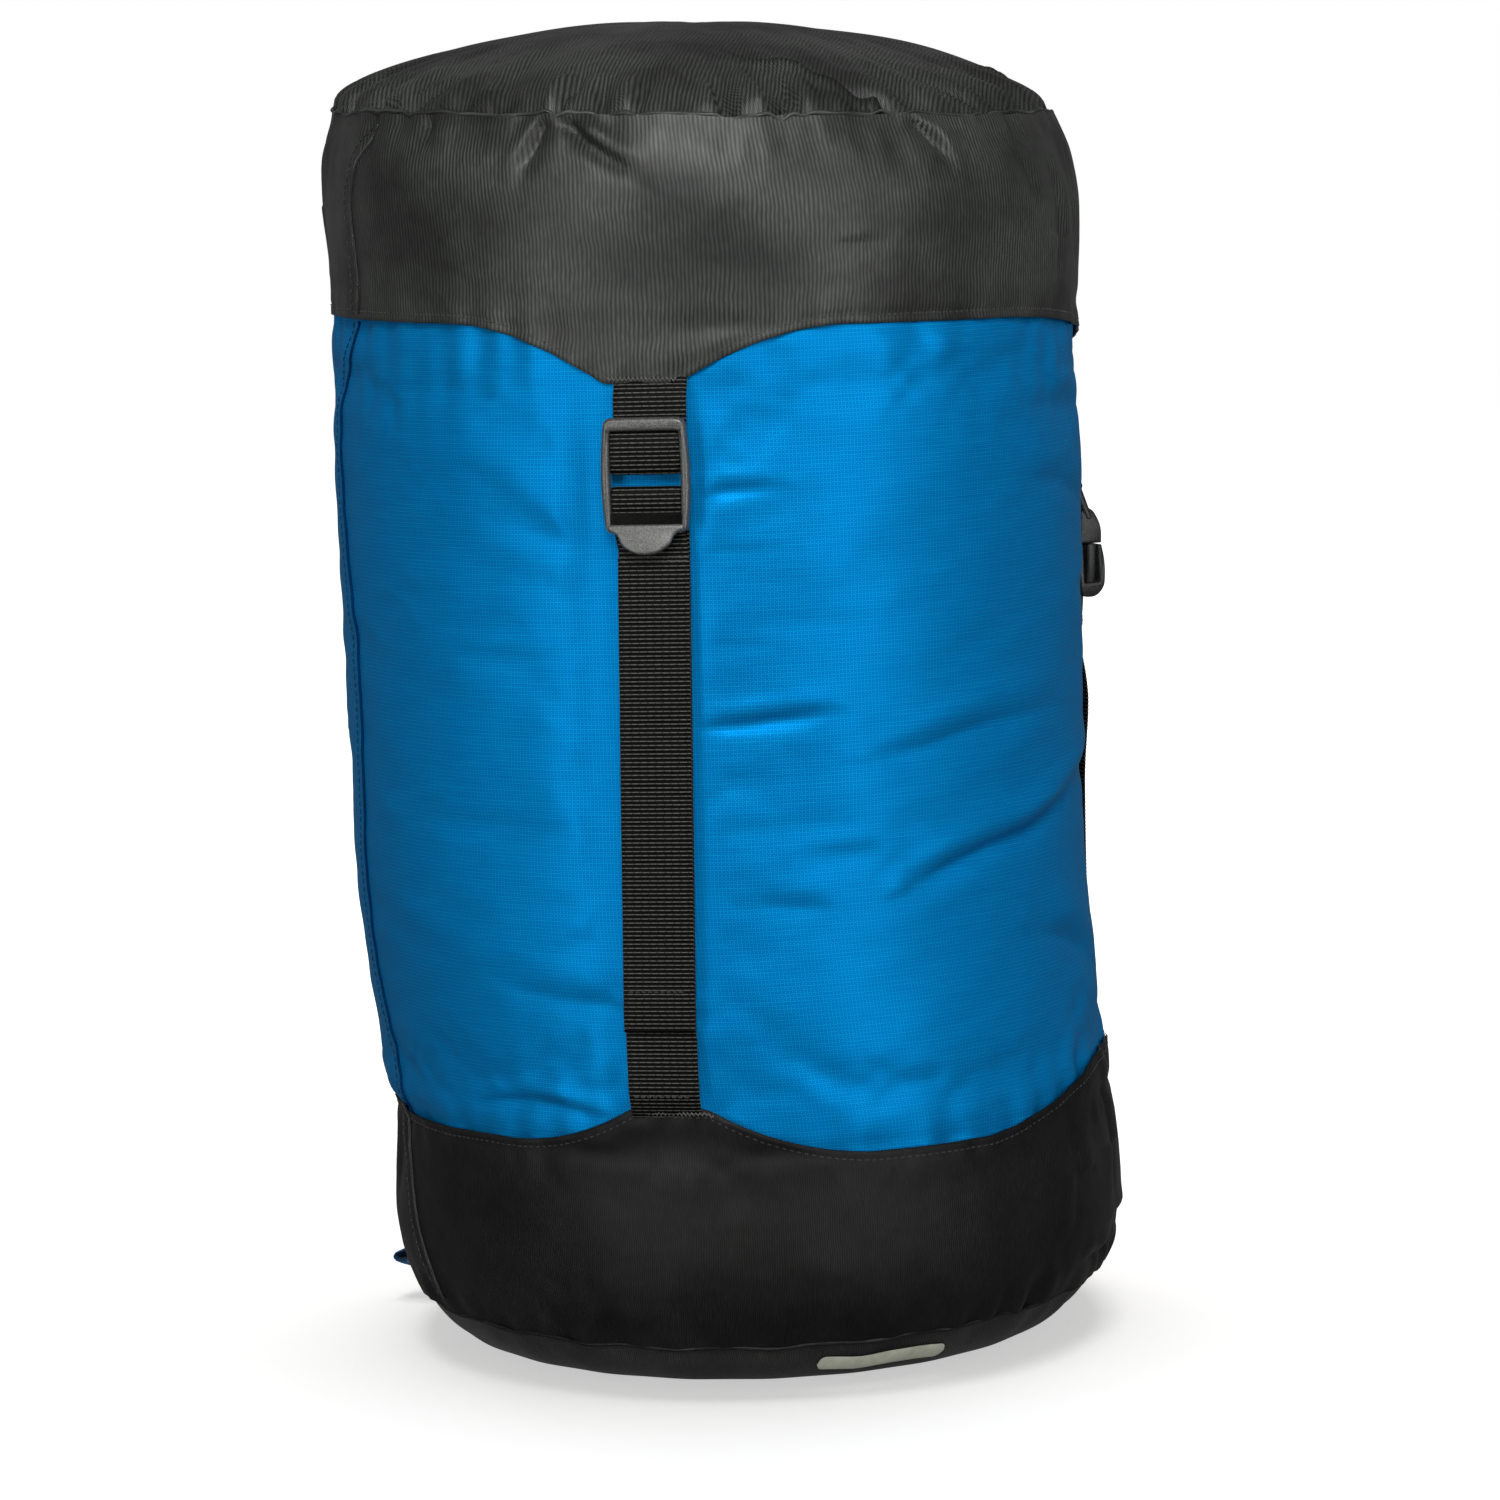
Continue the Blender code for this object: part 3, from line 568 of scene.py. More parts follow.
def crown_points(angle, ring, lift=0.0):
    """The lid's domed top: ring is 1 at its seam and 0 at the middle."""
    edge = lid_seam(angle)
    inward = 1 - ring
    z = edge + crown_rise(ring) - inward * (edge - LID_SEAM_Z)
    z = z + BILLOW_SHARE * billow.crown_up(angle, ring)
    near = np.exp(-inward / 0.12)
    shy = 1 - np.exp(-inward / 0.008)
    z = z + 6.6 * MM * np.minimum(ripple(angle, ring, 22, 56, 21, 7), 0.5) * near * shy
    z = z + 0.8 * MM * ripple(angle, ring, 2, 7, 22, 5) * np.sin(np.pi * ring)
    for start, sway, depth, wide, reach in CROWN_PLEATS:
        off = turn(angle, start + sway * inward / 0.2) * np.radians(1) * LID_SEAM_R / (wide * MM)
        hold = smooth((inward + 0.004) / 0.01) * smooth((reach - inward) / reach * 1.6)
        pleat = 1.5 * np.exp(-(off + 1.9) ** 2) - 3.6 * np.exp(-np.abs(off) ** 1.2)
        z = z + depth * MM * hold * pleat
    r = LID_SEAM_R * ring * (1 + 0.004 * ripple(angle, ring, 8, 30, 23, 4) * near)
    return leaning(on_sack(angle, r, z + lift))


# (angle, sway in degrees, depth in mm, width in mm, how far in it reaches)
CROWN_PLEATS = [(-10, 3, 1.9, 2.2, 0.16), (-3, -2, 1.6, 2.2, 0.14), (2.5, 1, 1.6, 2.0, 0.14),
                (16, -2, 1.6, 2.2, 0.15), (24, -3, 2.2, 2.4, 0.18), (27.5, -3, 1.6, 2.0, 0.14),
                (43, -16, 3.2, 2.8, 0.34), (62, -5, 1.6, 2.4, 0.2), (-38, 4, 1.2, 2.4, 0.16),
                (95, -6, 1.8, 2.6, 0.24), (131, 5, 2.0, 2.6, 0.22), (168, -6, 1.8, 2.6, 0.26),
                (207, 6, 2.2, 2.6, 0.24), (246, -5, 1.8, 2.6, 0.2), (291, 4, 1.7, 2.6, 0.2)]


def floor_points(angle, ring, lift=0.0):
    """The underside: ring is 0 at the middle and 1 at the seam."""
    edge = base_seam(angle) - BASE_SEAM_Z
    z = base_floor(ring) + edge * smooth((ring - 0.8) / 0.2)
    wave = ripple(angle, ring, 18, 48, 31, 5) * smooth((ring - 0.86) / 0.1) * smooth((1.0 - ring) / 0.02)
    r = BASE_SEAM_R * ring + 0.7 * MM * wave + lift
    return leaning(on_sack(angle, r, np.maximum(z - lift * 0.4, 0.0001)))


def disc(name, body, place, rings, facing_up):
    """A round of cloth: rings of points, with a fan of faces over the middle."""
    angle = np.broadcast_to(ANGLES, (len(rings), COLUMNS))
    points = place(angle, rings[:, None] * np.ones_like(angle))
    faces = lattice_faces(len(rings), COLUMNS)
    inner = len(rings) - 1 if facing_up else 0
    flat = np.concatenate([points.reshape(-1, 3), [points[inner].mean(0)]])
    last = len(flat) - 1
    for j in range(COLUMNS):
        a, b = inner * COLUMNS + j, inner * COLUMNS + (j + 1) % COLUMNS
        faces.append([a, b, last] if facing_up else [b, a, last])
    return add_mesh(name, flat, faces, flat[:, :2] + 0.3, body)


def run_along(line):
    """The distance of each point of a line from its start."""
    return np.concatenate([[0], np.cumsum(np.linalg.norm(np.diff(line, axis=0), axis=1))])


def tube(name, body, line, radius, sides=8, closed=True):
    """A thin round tube along a line of points, closed into a ring or capped at its ends."""
    line = np.asarray(line, float)
    count = len(line)
    ahead = np.roll(line, -1, 0) if closed else np.vstack([line[1:], line[-1:]])
    behind = np.roll(line, 1, 0) if closed else np.vstack([line[:1], line[:-1]])
    along = ahead - behind
    along /= np.linalg.norm(along, axis=1)[:, None] + 1e-12
    out = np.cross(along, [0, 0, 1.0])
    out /= np.linalg.norm(out, axis=1)[:, None] + 1e-12
    rise = np.cross(out, along)
    a = (np.arange(sides) * 2 * math.pi / sides)[None, :, None]
    radius = np.broadcast_to(radius, count)[:, None, None]
    points = line[:, None] + radius * (np.cos(a) * out[:, None] + np.sin(a) * rise[:, None])
    faces = (np.array(lattice_faces(count + closed, sides)) % (count * sides)).tolist()
    if not closed:
        faces.append(list(range(sides))[::-1])
        faces.append([(count - 1) * sides + j for j in range(sides)])
    uvs = np.stack(np.broadcast_arrays(a[..., 0] * 0.0006, run_along(line)[:, None]), -1)
    return add_mesh(name, points, faces, uvs, body)


STITCH_SINK = 0.05 * MM             # how far a stitch's ends dip into the cloth


def stitches(name, body, line, normals, length, gap, radius=0.24 * MM):
    """Thread along a line: one small bead per stitch, its ends dipping into the cloth."""
    line, normals = np.asarray(line, float), np.asarray(normals, float)
    run = run_along(line)
    sides, rings = 6, np.linspace(0, 1, 6)
    arch = np.sin(np.pi * rings) ** 0.6
    a = (np.arange(sides) * 2 * math.pi / sides)[:, None]
    bead = np.array(lattice_faces(len(rings), sides))[:, ::-1]
    points, faces = [], []
    for start in np.arange(gap, run[-1] - length, length + gap):
        places = start + length * rings
        middle = np.stack([np.interp(places, run, line[:, k]) for k in range(3)], -1)
        out = np.stack([np.interp(places, run, normals[:, k]) for k in range(3)], -1)
        along = middle[-1] - middle[0]
        across = np.cross(along / np.linalg.norm(along), out)
        middle = middle + out * (radius * 1.1 * arch - STITCH_SINK)[:, None]
        first = len(points) * sides
        for m, o, c, w in zip(middle, out, across, 0.45 + 0.55 * arch):
            points.append(m + radius * w * (np.cos(a) * c + np.sin(a) * o))
        faces += (bead + first).tolist()
        faces.append([first + j for j in range(sides)])
        faces.append([first + (len(rings) - 1) * sides + j for j in range(sides)][::-1])
    return add_mesh(name, np.concatenate(points), faces, None, body)


def surface_line(surface, angle, z, lift=0.0):
    """Points on a band's surface, and the way each faces."""
    points = leaning(on_sack(angle, surface(angle, z) + lift, z))
    facing = on_sack(angle, np.ones_like(angle), np.zeros_like(angle))
    return points, facing


def ribbon_on(name, body, surface, z, angle_at, width, lift):
    """A felled seam: a narrow raised strip of the cloth, following a line up the sack."""
    across = np.array([-1, -0.97, -0.85, -0.4, 0, 0.4, 0.85, 0.97, 1]) * width / 2
    raised = np.array([-0.3, 0.45, 0.95, 1, 0.9, 1, 0.95, 0.45, -0.3]) * lift
    zz = np.broadcast_to(z[:, None], (len(z), len(across)))
    angle = angle_at(z)[:, None] + np.degrees(across / CLOTH_R)[None, :]
    wobble = 0.08 * MM * ripple(angle, zz, 2, 5, 41, 900)
    points = leaning(on_sack(angle, surface(angle, zz) + raised[None, :] + wobble, zz))
    uvs = np.stack([np.radians(angle + 180) * CLOTH_R + 0.4 * MM, zz], -1)
    return add_mesh(name, points, lattice_faces(len(z), len(across), False), uvs, body)


# ----------------------------------------------------------------- materials
class Finish:
    """Short calls that build one node material."""

    def __init__(self, name, roughness, specular, tint=None, sheen=0.0, sheen_tint=None):
        self.material = bpy.data.materials.new(name)
        self.material.use_nodes = True
        self.tree = self.material.node_tree
        self.shader = self.tree.nodes["Principled BSDF"]
        looks = {"Roughness": roughness, "Specular IOR Level": specular, "Specular Tint": tint,
                 "Sheen Weight": sheen, "Sheen Roughness": 0.5, "Sheen Tint": sheen_tint}
        for socket, value in looks.items():
            if value is not None:
                self.put(value, self.shader.inputs[socket])

    def node(self, kind, **settings):
        made = self.tree.nodes.new(kind)
        for key, value in settings.items():
            setattr(made, key, value)
        return made

    def put(self, value, socket):
        if isinstance(value, bpy.types.NodeSocket):
            self.tree.links.new(value, socket)
        elif isinstance(value, tuple) and len(value) == 3 and socket.type == "RGBA":
            socket.default_value = (*value, 1)
        else:
            socket.default_value = value

    def math(self, operation, a, b=0.0, clamp=False):
        made = self.node("ShaderNodeMath", operation=operation, use_clamp=clamp)
        self.put(a, made.inputs[0])
        self.put(b, made.inputs[1])
        return made.outputs[0]

    def times(self, a, b):
        return self.math("MULTIPLY", a, b)

    def plus(self, a, b):
        return self.math("ADD", a, b)

    def cloth(self):
        """The cloth's own u and v, in millimetres."""
        uv = self.node("ShaderNodeUVMap", uv_map="cloth").outputs[0]
        parts = self.node("ShaderNodeSeparateXYZ")
        self.put(uv, parts.inputs[0])
        return [self.times(part, 1000.0) for part in parts.outputs[:2]]

    def object_place(self):
        return self.node("ShaderNodeTexCoord").outputs["Object"]

    def vector(self, x, y, z=0.0):
        made = self.node("ShaderNodeCombineXYZ")
        for value, socket in zip((x, y, z), made.inputs):
            self.put(value, socket)
        return made.outputs[0]

    def noise(self, place, scale, detail=2.0):
        made = self.node("ShaderNodeTexNoise")
        sockets = {"Vector": place, "Scale": scale, "Detail": detail, "Roughness": 0.55}
        for socket, value in sockets.items():
            self.put(value, made.inputs[socket])
        return made.outputs[0]

    def blotches(self, u, v, u_scale, v_scale, detail=2.0):
        """Noise over the cloth, stretched one way or the other."""
        return self.noise(self.vector(self.times(u, u_scale), self.times(v, v_scale)), 1.0, detail)

    def pulse(self, place, pitch, share, soft=0.25):
        """1 on a thread of every pitch, and 0 between, with soft edges."""
        swing = self.math("DIVIDE", self.math("PINGPONG", place, pitch / 2), pitch / 2)
        return self.math("DIVIDE", self.math("SUBTRACT", share, swing), soft * share, clamp=True)

    def wave(self, place, pitch):
        """A sine from 0 to 1."""
        turned = self.times(place, 2 * math.pi / pitch)
        return self.plus(self.times(self.math("SINE", turned), 0.5), 0.5)

    def mix(self, share, a, b):
        made = self.node("ShaderNodeMix", data_type="RGBA")
        for value, i in ((share, 0), (a, 6), (b, 7)):
            self.put(value, made.inputs[i])
        return made.outputs[2]

    def spread(self, value, low, high, to_low=0.0, to_high=1.0):
        made = self.node("ShaderNodeMapRange")
        for v, i in ((value, 0), (low, 1), (high, 2), (to_low, 3), (to_high, 4)):
            self.put(v, made.inputs[i])
        return made.outputs[0]

    def colour(self, value):
        self.put(value, self.shader.inputs["Base Color"])

    def roughness(self, value):
        self.put(value, self.shader.inputs["Roughness"])

    def bump(self, height, distance, strength=1.0, below=None):
        made = self.node("ShaderNodeBump")
        made.inputs["Strength"].default_value = strength
        made.inputs["Distance"].default_value = distance
        self.put(height, made.inputs["Height"])
        if below is not None:
            self.put(below, made.inputs["Normal"])
        return made.outputs[0]

    def normal(self, value):
        self.put(value, self.shader.inputs["Normal"])


def ripstop_blue():
    """Thin coated nylon: a grid of heavier, lighter threads over a fine plain weave."""
    f = Finish("blue_ripstop", 0.42, 0.08, tint=(0.0, 0.75, 1.0))
    f.shader.inputs["Metallic"].default_value = 0.35
    u, v = f.cloth()
    rows = f.times(f.pulse(v, 1.3, 0.3), f.pulse(u, 0.65, 0.62))
    columns = f.times(f.pulse(u, 1.3, 0.3), f.pulse(v, 0.65, 0.6))
    grid = f.math("MAXIMUM", rows, columns)
    slub = f.blotches(u, v, 0.05, 0.9, 3)
    cloud = f.blotches(u, v, 0.02, 0.02, 3)
    plain = f.mix(f.spread(slub, 0.3, 0.7, 0.25, 0.75), BLUE_DARK, BLUE_MID)
    plain = f.mix(f.spread(cloud, 0.3, 0.75, 0.0, 0.35), plain, BLUE_DARK)
    f.colour(f.mix(f.times(grid, f.spread(slub, 0.25, 0.7, 0.42, 0.70)), plain, BLUE_LIGHT))
    f.roughness(f.spread(slub, 0.2, 0.8, 0.38, 0.5))
    weave = f.times(f.wave(u, 0.31), f.wave(v, 0.31))
    height = f.plus(f.times(grid, 0.8), f.times(weave, 0.35))
    f.normal(f.bump(height, 0.05 * MM, 0.5, f.bump(cloud, 0.8 * MM, 0.35)))
    return f.material


def oxford_black(name, pitch, contrast, gloss):
    """Coated oxford: upright ribs with a finer slanting twill between them."""
    f = Finish(name, 0.36, gloss)
    u, v = f.cloth()
    drift = f.times(f.blotches(u, v, 0.05, 0.05), 3.0)
    ribs = f.wave(f.plus(u, drift), pitch)
    twill = f.wave(f.plus(f.times(u, 0.9), v), pitch * 0.55)
    slub = f.blotches(u, v, 1.1, 0.25, 3)
    cloud = f.blotches(u, v, 0.020, 0.026, 3)
    patch = f.spread(cloud, 0.36, 0.64, 0.38, 1.0)
    weave = f.plus(f.times(ribs, 0.62), f.times(twill, 0.38))
    worn = f.times(weave, f.spread(slub, 0.3, 0.7, 0.55, 1.0))
    lit = f.times(worn, f.times(patch, contrast))
    f.colour(f.mix(lit, BLACK_DEEP, BLACK_LIGHT))
    f.roughness(f.spread(cloud, 0.3, 0.7, 0.47, 0.37))
    f.normal(f.bump(weave, 0.10 * MM, 0.7, f.bump(cloud, 2.2 * MM, 0.6)))
    return f.material


def webbing_black():
    """Ribbed polypropylene webbing: each rib is a bright row of yarn, broken where the binder dips."""
    f = Finish("black_webbing", 0.5, 0.06)
    s, u = f.cloth()
    row = f.math("FLOOR", f.plus(f.math("DIVIDE", s, RIB_PITCH / MM), 0.5))
    crest = f.pulse(s, RIB_PITCH / MM, 0.36, 0.75)
    shifted = f.plus(u, f.times(f.math("PINGPONG", row, 1.0), 0.55))
    wander = f.times(f.blotches(row, u, 0.37, 0.2), 1.2)
    group = f.pulse(f.plus(shifted, wander), 2.75, 0.86, 0.3)
    dots = f.spread(f.pulse(shifted, 0.92, 0.8, 0.8), 0.0, 1.0, 0.8, 1.0)
    worn = f.blotches(s, u, 0.6, 0.9, 4)
    yarn = f.times(crest, f.times(f.spread(group, 0.0, 1.0, 0.45, 1.0), dots))
    lit = f.times(yarn, f.spread(worn, 0.3, 0.7, 0.55, 1.0))
    f.colour(f.mix(lit, WEBBING_DEEP, WEBBING_LIGHT))
    f.roughness(f.spread(worn, 0.3, 0.7, 0.42, 0.6))
    f.normal(f.bump(lit, 0.12 * MM, 0.8))
    return f.material


def moulded_black(name, share):
    """Acetal plastic with a fine spark-eroded grain.  Its colour and gloss are scaled by share: the copies
    with a small share are painted shade.
    """
    f = Finish(name, 0.36, 0.8 * share)
    place = f.object_place()
    grain = f.noise(place, 2600.0, 2)
    patch = f.noise(place, 240.0, 3)
    low, high = (tuple(share * c for c in tone) for tone in (PLASTIC_DEEP, PLASTIC_LIGHT))
    f.colour(f.mix(f.spread(grain, 0.4, 0.65), low, high))
    f.roughness(f.spread(patch, 0.3, 0.7, 0.34, 0.48))
    f.normal(f.bump(grain, 0.05 * MM, 0.55))
    return f.material


def thread(name, tone, tint=(1.0, 1.0, 1.0)):
    f = Finish(name, 0.6, 0.4, tint=tint, sheen=0.2, sheen_tint=tint)
    twist = f.noise(f.object_place(), 3200.0, 2)
    f.colour(f.mix(f.spread(twist, 0.35, 0.65), tuple(0.45 * c for c in tone), tone))
    f.normal(f.bump(twist, 0.05 * MM, 0.5))
    return f.material


def ribbon_blue():
    f = Finish("blue_ribbon", 0.5, 0.4, tint=(0.1, 0.4, 0.9), sheen=0.1)
    s, u = f.cloth()
    twill = f.wave(f.plus(s, u), 0.7)
    soft = f.blotches(s, u, 0.3, 0.3, 3)
    lit = f.times(twill, f.spread(soft, 0.3, 0.7, 0.4, 1.0))
    f.colour(f.mix(lit, RIBBON_DEEP, RIBBON_LIGHT))
    f.normal(f.bump(twill, 0.08 * MM, 0.6))
    return f.material


def label_cream():
    """A blank woven label, cream with a slightly darker selvedge grain."""
    f = Finish("label_cream", 0.6, 0.35, sheen=0.1)
    u, v = f.cloth()
    weave = f.times(f.wave(u, 0.45), f.wave(v, 0.45))
    stain = f.blotches(u, v, 0.25, 0.25, 3)
    f.colour(f.mix(f.spread(stain, 0.3, 0.75), LABEL_CREAM, LABEL_STAIN))
    f.normal(f.bump(weave, 0.06 * MM, 0.5))
    return f.material


BLUE_DARK = (0.0004, 0.116, 0.362)
BLUE_MID = (0.0006, 0.150, 0.425)
BLUE_LIGHT = (0.0060, 0.380, 0.610)
BLACK_DEEP = (0.0012, 0.0013, 0.0012)
BLACK_LIGHT = (0.0880, 0.0950, 0.0870)
WEBBING_DEEP, WEBBING_LIGHT = (0.0008, 0.0008, 0.0007), (0.118, 0.117, 0.106)
PLASTIC_DEEP, PLASTIC_LIGHT = (0.010, 0.010, 0.0097), (0.105, 0.105, 0.099)
RIBBON_DEEP, RIBBON_LIGHT = (0.003, 0.045, 0.12), (0.01, 0.12, 0.28)
LABEL_CREAM, LABEL_STAIN = (0.62, 0.64, 0.52), (0.47, 0.49, 0.38)
RIB_PITCH = 1.47 * MM

BLUE = ripstop_blue()
LID_BLACK = oxford_black("black_oxford", 1.47, 1.0, 0.26)
BASE_BLACK = oxford_black("black_oxford_smooth", 0.8, 0.22, 0.13)
UNDER_BLACK = oxford_black("black_oxford_under", 0.8, 0.75, 0.3)
WEBBING = webbing_black()
PLASTIC = moulded_black("black_plastic", 1.0)
# Painted shade: a nearly black copy of the plastic, for the lock's foot bar in the shadowed slot above its
# tab.
PAINTED_SHADE_PLASTIC = moulded_black("shaded_plastic", 0.06)
# Painted shade: a darker copy of the plastic for the side buckle, which the lamps light less than the front.
SIDE_SHADE_PLASTIC = moulded_black("side_shade_plastic", 0.38)
BLACK_THREAD = thread("black_thread", (0.012, 0.012, 0.011))
TACK_THREAD = thread("tack_thread", (0.075, 0.075, 0.070))
# Painted shade: these two darkest threads colour the tubes that draw the shadow along the felled seams'
# folded edges.
SHADE_THREAD = thread("black_fold_shade", (0.003, 0.003, 0.003))
BLUE_FOLD_SHADE = thread("blue_fold_shade", (0.0006, 0.022, 0.080), (0.0, 0.2, 0.6))
BLUE_THREAD = thread("blue_thread", (0.001, 0.055, 0.150), (0.0, 0.2, 0.6))
RIBBON = ribbon_blue()
LABEL = label_cream()


def dress(piece, material, replaces=()):
    piece.data.materials.clear()
    piece.data.materials.append(material)
    if replaces:
        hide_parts(*replaces)
    return piece


# -------------------------------------------------------------------- shells
BODY_LOW, BODY_TOP = 0.078, 0.441    # both edges are hidden, under the base band and the lid
body_cloth = band("body_cloth", "sack", body_surface, level(BODY_LOW), level(BODY_TOP))
dress(body_cloth, BLUE, ["body_tube"])

lid_band = band("lid_band_cloth", "lid", lid_surface, lid_hem, lid_seam, turn_in="bottom")
dress(lid_band, LID_BLACK, ["lid_band"])

base_band = band("base_band_cloth", "sack", base_surface, base_seam, base_hem, turn_in="top")
dress(base_band, BASE_BLACK, ["bottom_band"])

CROWN_RINGS = np.concatenate([np.linspace(1, 0.8, 22), np.linspace(0.8, 0.03, 42)[1:]])
lid_top = disc("lid_crown_cloth", "lid", crown_points, CROWN_RINGS, True)
dress(lid_top, LID_BLACK, ["lid_disc"])

FLOOR_RINGS = np.concatenate([np.linspace(0.03, 0.78, 22), np.linspace(0.78, 1, 26)[1:]])
underside = disc("base_disc_cloth", "sack", floor_points, FLOOR_RINGS, False)
dress(underside, UNDER_BLACK, ["bottom_disc"])

# ------------------------------------------------------ gathered throat and mouth
THROAT_R, THROAT_Z = 0.1284, 0.4405
MOUTH_R, MOUTH_Z = 0.0330, 0.4640


def throat_points(angle, share):
    """From the body's top edge in to the drawn mouth, its gathers deepening inward."""
    r = THROAT_R + (MOUTH_R - THROAT_R) * share
    z = THROAT_Z + (MOUTH_Z - THROAT_Z) * (0.75 * share + 0.25 * np.sin(np.pi * share / 2))
    depth = (0.4 + 1.7 * share * (1 - share) * 2) * MM
    z = z + depth * (ripple(angle, share, 22, 40, 51, 3) * 0.8)
    return leaning(on_sack(angle, r, z))


throat_share = np.linspace(0, 1, 50)[:, None] * np.ones((1, COLUMNS))
throat_angle = np.broadcast_to(ANGLES, throat_share.shape)
throat_mesh = throat_points(throat_angle, throat_share)
throat_uv = np.stack([np.radians(throat_angle + 180) * CLOTH_R, BODY_TOP + 0.1 * throat_share], -1)
throat = shell("throat_cloth", "sack", throat_mesh, throat_uv)
dress(throat, BLUE, ["throat"])

ring_angle = np.arange(240) * 1.5
pinch = ripple(ring_angle, 0, 26, 34, 52)
mouth_line = leaning(on_sack(ring_angle, 0.0318 + 0.35 * MM * pinch, 0.4655 + 0.25 * MM * pinch))
mouth = tube("mouth_hem_cloth", "sack", mouth_line, 2.3 * MM + 0.22 * MM * pinch, 12)
dress(mouth, BLUE, ["mouth_hem"])

# ------------------------------------------------------------- seams and stitching
seam_angle = np.arange(0, 360, 0.75)
crown_edge = crown_points(seam_angle, np.full_like(seam_angle, 0.999))
lid_edge, _ = surface_line(lid_surface, seam_angle, lid_seam(seam_angle) - 0.3 * MM)
lid_ridge = tube("lid_seam_ridge", "lid", (crown_edge + lid_edge) / 2 + [0, 0, 0.15 * MM],
                 0.75 * MM + 0.16 * MM * ripple(seam_angle, 0, 30, 90, 61), 8)
dress(lid_ridge, LID_BLACK)

floor_edge = floor_points(seam_angle, np.full_like(seam_angle, 0.999))
base_edge, _ = surface_line(base_surface, seam_angle, base_seam(seam_angle) + 0.2 * MM)
base_ridge = tube("base_seam_ridge", "sack", (floor_edge + base_edge) / 2,
                  0.8 * MM + 0.16 * MM * ripple(seam_angle, 0, 30, 90, 62), 8)
dress(base_ridge, BASE_BLACK)


def hem_stitching(name, body, surface, hem, inset, material):
    angle = np.arange(-180, 180.01, 0.4)
    line, facing = surface_line(surface, angle, hem(angle) + inset)
    return dress(stitches(name, body, line, facing, 1.9 * MM, 0.8 * MM), material)


hem_stitching("lid_hem_stitches", "lid", lid_surface, lid_hem, HEM_STITCH, BLACK_THREAD)
hem_stitching("base_hem_stitches", "sack", base_surface, base_hem, -HEM_STITCH, BLACK_THREAD)


def hem_tack(name, body, surface, hem, strap, aside, inset):
    """A zigzag of thread that holds a strap under a hem's point."""
    across = np.linspace(-STRAP_HALF + 0.8 * MM, STRAP_HALF - 0.8 * MM, 33)
    angle = strap + np.degrees((across + aside) / CLOTH_R)
    up = np.where(np.arange(33) % 2 == 0, 0.55, -0.55) * MM
    line, _ = surface_line(surface, angle, hem(angle) + inset + up, 0.5 * MM)
    dress(tube(f"{name}_tack_{int(strap)}", body, line, 0.36 * MM, 6, closed=False), TACK_THREAD)


for tacked, tack_aside in ((FRONT, 2.6 * MM), (SIDE, 0.0), (REAR, 0.0)):
    hem_tack("lid", "lid", lid_surface, lid_hem, tacked, tack_aside, 1.3 * MM)
    hem_tack("base", "sack", base_surface, base_hem, tacked, 0.0, -1.3 * MM)


def felled_seam(name, body, surface, low, high, angle_at, cloth):
    """A seam up the sack: a raised strip, a dark tube of painted shade along the fold at its edge, and a row
    of stitches.
    """
    material, slot, stitch_material, fold_shade_material = cloth
    z = np.arange(low, high, 1.5 * MM)
    dress(ribbon_on(name, body, surface, z, angle_at, 7.5 * MM, 0.25 * MM), material)
    # The fold's tube is painted shade: a dark line where the seam's folded edge casts its shadow.
    edge, _ = surface_line(surface, angle_at(z) + np.degrees(3.8 * MM / CLOTH_R), z, 0.3 * MM)
    dress(tube(name + "_fold", body, edge, 0.6 * MM, 6, closed=False), fold_shade_material)
    offset = np.degrees(-2.6 * MM / CLOTH_R)
    line, facing = surface_line(surface, angle_at(z) + offset, z, 0.45 * MM)
    dress(stitches(name + "_stitches", body, line, facing, 2.1 * MM, 0.8 * MM, 0.2 * MM), stitch_material)


lid_seam_angle = curve_through([(0.370, -56), (0.384, -55), (0.433, -53), (0.450, -46)])
base_seam_angle = curve_through([(0.020, -53), (0.030, -54), (0.057, -59), (0.088, -62), (0.10, -63)])
felled_seam("body_seam", "sack", body_surface, 0.090, 0.378, body_seam_angle,
            (BLUE, "blue_ripstop", BLUE_THREAD, BLUE_FOLD_SHADE))
felled_seam("lid_band_seam", "lid", lid_surface, 0.381, 0.4475, lid_seam_angle,
            (LID_BLACK, "black_oxford", BLACK_THREAD, SHADE_THREAD))
felled_seam("base_band_seam", "sack", base_surface, 0.023, 0.094, base_seam_angle,
            (BASE_BLACK, "black_oxford", BLACK_THREAD, SHADE_THREAD))


# -------------------------------------------------------------------- straps
def path_of(corners, bend, step):
    """Points of a strap's (radius, z) path, with its corners rounded by repeated cutting."""
    path = np.array(corners, float)
    for _ in range(3):
        lengths = np.linalg.norm(np.diff(path, axis=0), axis=1)
        new = [path[0]]
        for i in range(1, len(path) - 1):
            cut_in = min(bend, 0.32 * lengths[i - 1]) / lengths[i - 1]
            cut_out = min(bend, 0.32 * lengths[i]) / lengths[i]
            new.append(path[i] + (path[i - 1] - path[i]) * cut_in)
            new.append(path[i] + (path[i + 1] - path[i]) * cut_out)
        new.append(path[-1])
        path = np.array(new)
        bend *= 0.45
    run = run_along(path)
    places = np.linspace(0, run[-1], max(int(run[-1] / step), 2) + 1)
    return np.stack([np.interp(places, run, path[:, 0]), np.interp(places, run, path[:, 1])], -1), places


